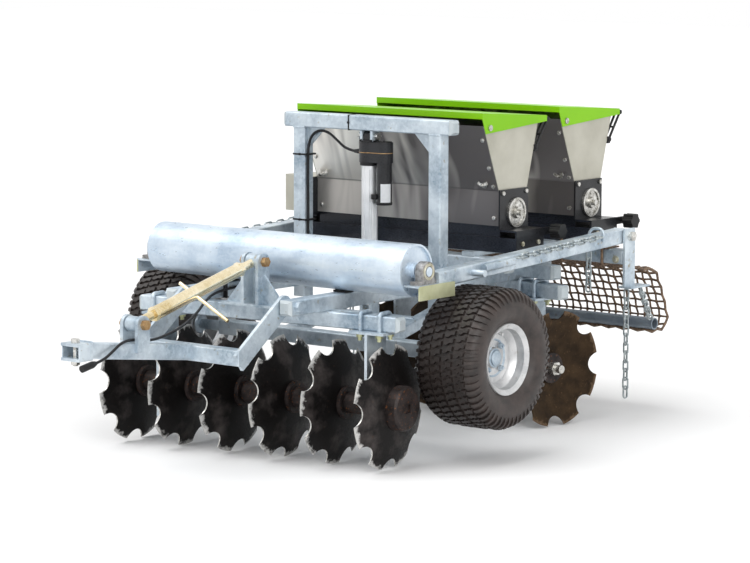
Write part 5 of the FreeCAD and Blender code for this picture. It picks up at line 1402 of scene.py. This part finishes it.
# ------------------------------------------------------------------ fittings
@dataclass
class HopperFittings:
    """Button-head bolts, folded corner seams and wing nuts of one hopper.

    Attributes:
        name: Name of the hopper.
        front_reach: Distance of the front wall's top from the hopper's middle.
        rear_reach: The same for the rear wall.
        foot: Distance of the walls' foot from the middle.
        top_z: Height of the walls' top.
        neck_z: Height of their foot.
        seam_z: Height of the seams' foot.
        seam_r: Radius of a seam.
        heads: (x, z) of the bolts on one half of a wall.
        dome: Height and radius of such a bolt's head.
        end_yz: Distance from the middle and height of the bolts on an end sheet.
        end_head: Height and radius of such a bolt's head.
        wings: (x, z) of the wing nuts.
        nut_rods: Foot and top out from the wall, radius, sides and eased edge of a stud, boss and washer.
        wing: Middle of a nut's wing from the stud: along the hopper, out from the wall and up.
        wing_size: Size of a wing.
        wing_rise: Angle at which it rises, in degrees.
    """

    name: str
    front_reach: float = 0.167
    rear_reach: float = 0.141
    foot: float = 0.078
    top_z: float = 1.048
    neck_z: float = 0.825
    seam_z: float = 0.831
    seam_r: float = 0.0019
    heads: Line = ((0.374, 1.000), (0.374, 0.905), (0.374, 0.842), (0.372, 0.735), (0.130, 0.728))
    dome: tuple[float, float] = (0.0052, 0.0078)
    end_yz: tuple[float, float] = (0.066, 0.818)
    end_head: tuple[float, float] = (0.007, 0.0082)
    wings: Line = ((-0.350, 0.8445), (0.340, 0.8445))
    nut_rods: tuple[tuple[float, float, float, int, float], ...] = (
        (-0.002, 0.026, 0.0036, 12, 0.0008), (0.006, 0.017, 0.0070, 14, 0.0015),
        (0.0005, 0.0035, 0.0105, 20, 0.0006))
    wing: Point = (0.0125, 0.0150, 0.0045)
    wing_size: Point = (0.0170, 0.0034, 0.0110)
    wing_rise: float = 28.0

    @property
    def middle(self) -> float:
        """Middle of the hopper's foot along Y."""
        return HOPPERS[self.name]

    @property
    def walls(self) -> tuple[tuple[int, float], ...]:
        """Side along Y and reach of the front and the rear wall."""
        return (-1, self.front_reach), (1, self.rear_reach)

    def wall_y(self, z: float, reach: float) -> float:
        """Distance of a sloped wall from the hopper's middle.

        Args:
            z: Height.
            reach: Distance of the wall's top from the middle.

        Returns:
            The distance at that height.
        """
        if z <= self.neck_z:
            return self.foot
        return self.foot + (reach - self.foot) * (z - self.neck_z) / (self.top_z - self.neck_z)

    def buttons(self) -> list[Piece]:
        """Model the bolts on the front, back and end sheets.

        Returns:
            The bolts.
        """
        out = []
        for x, z in [(s * x, z) for s in (-1, 1) for x, z in self.heads]:
            slope = (self.front_reach - self.foot) / (self.top_z - self.neck_z) if z > self.neck_z else 0.0
            for sign, reach in self.walls:
                y = self.middle + sign * self.wall_y(z, reach)
                head = (x, y + sign * self.dome[0], z - 0.005 * slope)
                out.append(Bench.rod("button", (x, y - sign * 0.001, z), head, self.dome[1], 16, 0.0026))
        off, z = self.end_yz
        for s in (-1, 1):
            x = s * (HOPPER_HALF + 0.006)
            for y in (self.middle - off, self.middle + off):
                head = (x + s * self.end_head[0], y, z)
                out.append(Bench.rod("button", (x, y, z), head, self.end_head[1], 6, 0.0014))
        return out

    def wing_nut(self, x: float, z: float) -> list[Piece]:
        """Model a stud with a wing nut on the front wall.

        Args:
            x: Place along the hopper.
            z: Height.

        Returns:
            Its parts.
        """
        y = self.middle - self.wall_y(z, self.front_reach)
        parts = [Bench.rod("wing_stud", (x, y - foot, z), (x, y - top, z), *sizes)
                 for foot, top, *sizes in self.nut_rods]
        along, out, up = self.wing
        for sign in (-1, 1):
            wing = Bench.cube("wing", (x + sign * along, y - out, z + up), self.wing_size,
                              (0.0, sign * math.radians(-self.wing_rise), 0.0))
            parts.append(Bench.modify(wing, "BEVEL", width=0.0014, segments=2, limit_method="ANGLE"))
        return parts

    def seams(self) -> list[Piece]:
        """Model the folded flanges at the four sloped corners.

        Returns:
            The flanges.
        """
        out = []
        for x in (0.0008 - HOPPER_HALF, HOPPER_HALF - 0.0008):
            for sign, reach in self.walls:
                for ends in ((self.neck_z, self.top_z), (self.seam_z, self.neck_z)):
                    a, b = ((x, self.middle + sign * (self.wall_y(z, reach) - 0.0010), z) for z in ends)
                    out.append(Bench.rod("seam", a, b, self.seam_r, 8))
        return out

    def build(self, paint: Paint) -> None:
        """Build the hopper's fittings.

        Args:
            paint: Finishes.
        """
        wings = [part for x, z in self.wings for part in self.wing_nut(x, z)]
        paint.install(f"hopper_bolts_{self.name}", self.buttons() + wings, "bright_steel", Body.CHASSIS,
                      "zinc_hardware")
        paint.install(f"hopper_seams_{self.name}", self.seams(), "sheet_end", Body.CHASSIS, "stainless_sheet")


@dataclass
class Latches:
    """Rubber draw latches at the lids' rear corners.

    Attributes:
        x: Place of a latch along the hopper.
        foot: (y, z) of a latch's foot, y from the hopper's middle.
        roll: (y, z) of the roll that holds the lid's edge.
        base: Lowest and highest corner of the foot's base, from the foot.
        pins: Half-length, radius and eased edge of the pivot, of the roll and of the rung.
        arm: Distance from the middle and radius of an arm.
        rung_at: Share of the way from the pivot to the roll at which the rung lies.
    """

    x: float = 0.384
    foot: tuple[float, float] = (0.1285, 0.962)
    roll: tuple[float, float] = (0.1955, 1.054)
    base: tuple[Point, Point] = ((-0.013, -0.012, -0.014), (0.013, 0.004, 0.010))
    pins: tuple[Point, Point, Point] = (
        (0.015, 0.0085, 0.0022), (0.014, 0.0080, 0.0024), (0.0075, 0.0034, 0.0008))
    arm: tuple[float, float] = (0.0085, 0.0043)
    rung_at: float = 0.45

    def draw_latch(self, x: float, middle: float) -> list[Piece]:
        """Model one latch: a foot on the wall, two arms and the roll that holds the lid's edge.

        Args:
            x: Middle of the latch.
            middle: Middle of the hopper along Y.

        Returns:
            Its parts.
        """
        y, z = middle + self.foot[0], self.foot[1]
        foot, roll = Vector((x, y, z)), Vector((x, middle + self.roll[0], self.roll[1]))
        across = Vector((1.0, 0.0, 0.0))
        spots = (foot, 18), (roll, 18), (foot.lerp(roll, self.rung_at), 12)
        pivot, hook, rung = ((spot - across * half, spot + across * half, radius, sides, edge)
                             for (spot, sides), (half, radius, edge) in zip(spots, self.pins))
        off, radius = self.arm
        arms = [(foot + across * d, roll + across * d, radius, 12, 0.0008) for d in (-off, off)]
        low, high = ((x + dx, y + dy, z + dz) for dx, dy, dz in self.base)
        parts = [Bench.block("latch_foot", low, high, 0.0025)]
        return parts + [Bench.rod("latch_rod", *sizes) for sizes in (pivot, hook, *arms, rung)]

    def build(self, paint: Paint) -> None:
        """Build every latch in place of the CAD latches.

        Args:
            paint: Finishes.
        """
        for name, middle in HOPPERS.items():
            straps = [part for side in Side for part in self.draw_latch(side.value * self.x, middle)]
            paint.install(f"draw_latches_{name}", straps, "black_plastic", Body.CHASSIS, "black_plastic",
                          f"latches_{name}")


@dataclass
class CableTies:
    """Black ties that hold the cable to the frame.

    Attributes:
        bands: Name with the lowest and highest corner of each band.
        head: Half-width of a locking head.
    """

    bands: tuple[tuple[str, Point, Point], ...] = (
        ("upright_high", (-0.3163, 0.1738, 0.926), (-0.2545, 0.2262, 0.932)),
        ("upright_low", (-0.3163, 0.1738, 0.702), (-0.2545, 0.2262, 0.708)),
        ("crossbeam", (-0.0750, 0.1738, 1.0208), (-0.0690, 0.2262, 1.0732)),
        ("rail_front", (-0.2662, -0.3030, 0.4888), (-0.1995, -0.2970, 0.5412)),
        ("rail_middle", (-0.2662, -0.0930, 0.4888), (-0.2030, -0.0870, 0.5412)))
    head: float = 0.0038

    def build(self, paint: Paint) -> None:
        """Build the ties with their locking heads.

        Args:
            paint: Finishes.
        """
        parts = []
        for name, low, high in self.bands:
            parts.append(Bench.block(f"tie_{name}", low, high, 0.0011))
            x, z = Bench.middle(low, high)[::2]
            head = (x, low[1] + 0.0005, z)
            parts.append(Bench.block("tie_head", [c - self.head for c in head], [c + self.head for c in head],
                                     0.0010))
        ties = Bench.smooth(Bench.join("cable_ties", parts))
        paint.install(ties.name, [ties], "black_plastic", Body.CHASSIS, "black_plastic")


@dataclass
class ActuatorFittings:
    """Blank rating plate, connector, collars, crowns, screws and seal of the actuator.

    Attributes:
        motor_x: Place of the motor beside the actuator's tube.
        motor_r: Radius of the motor.
        plate_z: Middle height of the rating plate.
        plate_height: Height of the plate.
        plate: Lowest and highest angle that the plate covers, in degrees from the front to the left.
        connector: Lowest and highest corner of the connector, y from the portal's middle.
        rounds: x, lowest and highest z, radius and eased edge of each collar and crown.
        screws: x of each screw, with its y from the portal's middle.
        screw_z: Foot and top of the screws.
        seal_z: Lowest and highest z of the seal.
        seal_r: Radius of the seal round the gear housing and round the motor.
    """

    motor_x: float = 0.062
    motor_r: float = 0.026
    plate_z: float = 0.812
    plate_height: float = 0.070
    plate: tuple[float, float] = (12.0, 92.0)
    connector: tuple[Point, Point] = ((0.0300, -0.0330, 0.794), (0.0520, -0.0130, 0.812))
    rounds: tuple[tuple[float, float, float, float, float], ...] = (
        (0.062, 0.775, 0.786, 0.0276, 0.002), (0.0, 0.905, 0.919, 0.0335, 0.003),
        (0.0, 0.983, 0.9905, 0.0325, 0.004), (0.062, 0.983, 0.9885, 0.0265, 0.003))
    screws: Line = ((-0.022, -0.022), (0.022, -0.022), (0.074, -0.018))
    screw_z: tuple[float, float] = (0.986, 0.9930)
    seal_z: tuple[float, float] = (0.9485, 0.9510)
    seal_r: tuple[float, float] = (0.0366, 0.0306)

    def rating_plate(self) -> Piece:
        """Bend a blank plate round the motor's lower half.

        Returns:
            The plate.
        """
        middle = Vector((self.motor_x, PORTAL_Y, self.plate_z))
        Bench.pick()
        bpy.ops.mesh.primitive_cylinder_add(vertices=64, radius=self.motor_r + 0.0004, location=middle,
                                            depth=self.plate_height, end_fill_type="NOTHING")
        plate = Bench.named("blank_plate")
        Bench.edit()
        mesh = bmesh.from_edit_mesh(plate.data)
        for face in mesh.faces:
            off = face.calc_center_median() - middle
            face.select = not self.plate[0] < math.degrees(math.atan2(off.x, -off.y)) < self.plate[1]
        bmesh.update_edit_mesh(plate.data)
        bpy.ops.mesh.delete(type="FACE")
        Bench.leave()
        return Bench.smooth(Bench.modify(plate, "SOLIDIFY", thickness=0.0008, offset=1.0))

    def seal(self) -> list[Piece]:
        """Model the seal that shows as a line round the gear housing.

        Returns:
            Its parts.
        """
        low, high = self.seal_z
        parts = [Bench.rod("seal", (x, PORTAL_Y, low), (x, PORTAL_Y, high), radius, 48, 0.0004)
                 for x, radius in zip((0.0, self.motor_x), self.seal_r)]
        wall = self.seal_r[1]
        corners = (0.0, PORTAL_Y - wall, low), (self.motor_x, PORTAL_Y + wall, high)
        return parts + [Bench.block("seal", *corners, 0.0004)]

    def build(self, paint: Paint) -> None:
        """Build the fittings.

        Args:
            paint: Finishes.
        """
        plate = self.rating_plate()
        parts = [Bench.block("connector", *((x, PORTAL_Y + y, z) for x, y, z in self.connector), 0.0030)]
        parts += [Bench.rod("round", (x, PORTAL_Y, low), (x, PORTAL_Y, high), radius, 40, edge)
                  for x, low, high, radius, edge in self.rounds]
        for x, y in self.screws:
            foot, top = ((x, PORTAL_Y + y, z) for z in self.screw_z)
            parts.append(Bench.rod("screw", foot, top, 0.0045, 12, 0.0012))
        for name, pieces, finish in ((plate.name, [plate], "blank_plate"),
                                     ("actuator_fittings", parts, "black_plastic"),
                                     ("actuator_seal", self.seal(), "orange_zinc")):
            paint.install(name, pieces, finish, Body.CHASSIS, "black_housing")


@dataclass
class FrameFittings:
    """Weld beads, bolts and washers of the frame, cheeks of the hitch and rings of the roller's bearings.

    Attributes:
        bead: Radius of a weld bead.
        ripple: Length of one of its ripples.
        paired: Ends of the beads on the machine's left, repeated on its right.
        single: Ends of the beads in the middle.
        cheek_x: Inner face and thickness of a hitch cheek.
        cheek_yz: Lowest and highest (y, z) of a hitch cheek.
        ring: (x, radius) of a bearing's ring.
        post_xz: Place of the bolt on a post.
        post_rods: Foot and top along Y, radius, sides and eased edge of its washer and of its head.
        base_x: Foot and top of the bolts on the hoppers' bases.
        base_y: Their places from a hopper's middle.
        base_z: Their height.
    """

    bead: float = 0.0032
    ripple: float = 0.0028
    paired: tuple[tuple[Point, Point], ...] = (
        ((0.2660, 0.1758, 1.0215), (0.3145, 0.1758, 1.0215)),
        ((0.2660, 0.2242, 1.0215), (0.3145, 0.2242, 1.0215)),
        ((0.2650, 0.1965, 0.950), (0.2650, 0.1965, 1.020)),
        ((0.0400, -0.3860, 0.4985), (0.1180, -0.3860, 0.4985)),
        ((0.2140, -0.7210, 0.352), (0.2140, -0.7210, 0.398)),
        ((0.5930, 0.8400, 0.5560), (0.5930, 0.8400, 0.6040)))
    single: tuple[tuple[Point, Point], ...] = (
        ((-0.0245, -0.7215, 0.4030), (0.0245, -0.7215, 0.4030)),
        ((-0.0370, -1.1850, 0.4640), (0.0370, -1.1850, 0.4640)))
    cheek_x: tuple[float, float] = (0.0325, 0.0045)
    cheek_yz: Line = ((-1.2430, 0.4168), (-1.1880, 0.4556))
    ring: Line = (
        (0.5840, 0.0185), (0.5872, 0.0185), (0.5872, 0.0215), (0.5860, 0.0225), (0.5872, 0.0235),
        (0.5872, 0.0265), (0.5840, 0.0270))
    post_xz: tuple[float, float] = (0.569, 0.571)
    post_rods: tuple[tuple[float, float, float, int, float], ...] = (
        (0.8395, 0.8368, 0.0135, 24, 0.0006), (0.837, 0.829, 0.0095, 6, 0.0014))
    base_x: tuple[float, float] = (0.465, 0.4715)
    base_y: tuple[float, float] = (-0.045, 0.045)
    base_z: float = 0.652

    def beads(self) -> list[Piece]:
        """Run weld beads round the portal's, drawbar's and mast's joints.

        Returns:
            The beads.
        """
        runs = [((s.value * a[0], *a[1:]), (s.value * b[0], *b[1:])) for s in Side for a, b in self.paired]
        return [self.bead_run(a, b) for a, b in (*runs, *self.single)]

    def bead_run(self, start: Point, end: Point) -> Piece:
        """Model one rippled weld bead.

        Args:
            start: Start of the bead.
            end: End of the bead.

        Returns:
            The bead.
        """
        a, b = Vector(start), Vector(end)
        length, along = (b - a).length, (b - a).normalized()
        count = max(4, int(length / self.ripple))

        def swell(vert: bmesh.types.BMVert) -> None:
            """Draw every other cut and the ends towards the bead's axis.

            Args:
                vert: Vertex of the bead.
            """
            far = (vert.co - a).dot(along)
            foot = a + along * far
            size = 0.86 if round(far / length * count) % 2 else 1.0
            if min(far, length - far) < 0.001:
                size *= 0.55
            vert.co = foot + (vert.co - foot) * size

        bead = Bench.rod("bead", start, end, self.bead, 8)
        Bench.edit()
        for i in range(1, count):
            bpy.ops.mesh.select_all(action="SELECT")
            bpy.ops.mesh.bisect(plane_co=a.lerp(b, i / count), plane_no=along)
        Bench.reshape(bead, swell)
        Bench.leave()
        return Bench.smooth(bead, 60.0)

    def bolts(self) -> list[Piece]:
        """Model the bolts on the posts and the hoppers' bases.

        Returns:
            The bolts.
        """
        out = []
        for side in Side:
            s = side.value
            x, z = s * self.post_xz[0], self.post_xz[1]
            for foot, top, *sizes in self.post_rods:
                out.append(Bench.rod("post_bolt", (x, foot, z), (x, top, z), *sizes))
            for y in (middle + off for middle in HOPPERS.values() for off in self.base_y):
                foot, top = ((s * x, y, self.base_z) for x in self.base_x)
                out.append(Bench.rod("base_bolt", foot, top, 0.0085, 6, 0.0014))
        return out

    def build(self, paint: Paint) -> None:
        """Build the beads, bolts, cheeks and rings.

        Args:
            paint: Finishes.
        """
        cheeks = []
        for side in Side:
            x, far = side.value * self.cheek_x[0], side.value * sum(self.cheek_x)
            low, high = ((x, *yz) for x, yz in zip(sorted((x, far)), self.cheek_yz))
            cheeks.append(Bench.block("cheek", low, high, 0.0008))
        rings = [Bench.turned("ring", [(side.value * x, r) for x, r in self.ring],
                              (0.0, ROLLER_Y, ROLLER_Z), 48) for side in Side]
        for name, parts, finish, body, slot in (
                ("hitch_cheeks", cheeks, "galvanised", Body.CHASSIS, "galvanised_steel"),
                ("bearing_rings", rings, "yellow_zinc", Body.ROLLER_SWING, "zinc_hardware"),
                ("weld_beads", self.beads(), "galvanised", Body.CHASSIS, "galvanised_steel"),
                ("frame_bolts", self.bolts(), "yellow_zinc", Body.CHASSIS, "zinc_hardware")):
            paint.install(name, parts, finish, body, slot)


@dataclass
class FurtherFinishes:
    """Faces of CAD nodes that wear a further finish.

    Attributes:
        facing: Share of a normal along an axis from which a face points that way.
        sloping: The same for a hopper's rear wall.
        plate_top: Height of the top of the U-bolts' plates.
        bracket_x: Distance of the roller brackets' outer faces from the middle.
        bracket_y: Lowest and highest y of these faces.
        tube_y: Lowest and highest y of the top link's tube.
        rim_from: Share of a disc's radius outside which its edges are ground.
        rim_tilt: Largest share of a ground face's normal along the shaft.
    """

    facing: float = 0.9
    sloping: float = 0.3
    plate_top: float = 0.4335
    bracket_x: float = 0.597
    bracket_y: tuple[float, float] = (-0.32, -0.11)
    tube_y: tuple[float, float] = (-0.93, -0.42)
    rim_from: float = 0.6
    rim_tilt: float = 0.4

    def on_blade_edge(self, middle: Vector, normal: Vector) -> bool:
        """Tell the ground rims and notches of the front gang's discs.

        Args:
            middle: Middle of the face.
            normal: Normal of the face.

        Returns:
            Whether the face is part of a cutting edge.
        """
        shaft = Vector((math.cos(FRONT_YAW), math.sin(FRONT_YAW), 0.0))
        out = middle - Vector(FRONT_GANG)
        out -= shaft * out.dot(shaft)
        return out.length > self.rim_from * GANG_R and abs(normal.dot(shaft)) < self.rim_tilt

    def on_bracket(self, middle: Vector, normal: Vector) -> bool:
        """Whether a face with this middle is on the outside of a roller bracket."""
        return abs(middle.x) > self.bracket_x and self.bracket_y[0] < middle.y < self.bracket_y[1]

    def build(self, paint: Paint) -> None:
        """Put the finishes on.

        Args:
            paint: Finishes.
        """
        for node, name, test in (
                # The hoppers' end and rear faces get plain sheet, so the painted reflection and painted neck
                # shade show only on the remaining faces, the front walls among them.
                ("hopper_front", "sheet_end", lambda middle, normal: abs(normal.x) > self.facing),
                ("hopper_front", "sheet_rear", lambda middle, normal: normal.y > self.sloping),
                ("hopper_rear", "sheet_end", lambda middle, normal: abs(normal.x) > self.facing),
                ("hopper_rear", "sheet_rear", lambda middle, normal: normal.y > self.sloping),
                # Painted reflection: the bases' front faces get the lighter bluish black.
                ("hopper_bases", "black_gloss_painted_reflection", lambda middle, normal: normal.y < -self.facing),
                ("front_discs", "bright_steel", self.on_blade_edge),
                ("gang_u_bolts", "green_zinc", lambda middle, normal: middle.z < self.plate_top),
                ("roller_arm_left", "green_zinc", self.on_bracket),
                ("roller_arm_right", "green_zinc", self.on_bracket),
                ("top_link_screws", "galvanised",
                 lambda middle, normal: not self.tube_y[0] < middle.y < self.tube_y[1])):
            paint.put_on_faces(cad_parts[node], name, test)


def main() -> None:
    """Build the studio and the machine."""
    logging.basicConfig(level=logging.INFO, format="%(name)s: %(message)s")
    Studio().build()
    paint = Paint()
    for maker in (SupplyCable(), *map(Tyre, Side), *map(Rim, Side), DragMat(), Chains(),
                  *map(HopperFittings, HOPPERS), Latches(), CableTies(), ActuatorFittings(), FrameFittings(),
                  FurtherFinishes()):
        maker.build(paint)


if __name__ == "__main__":
    main()
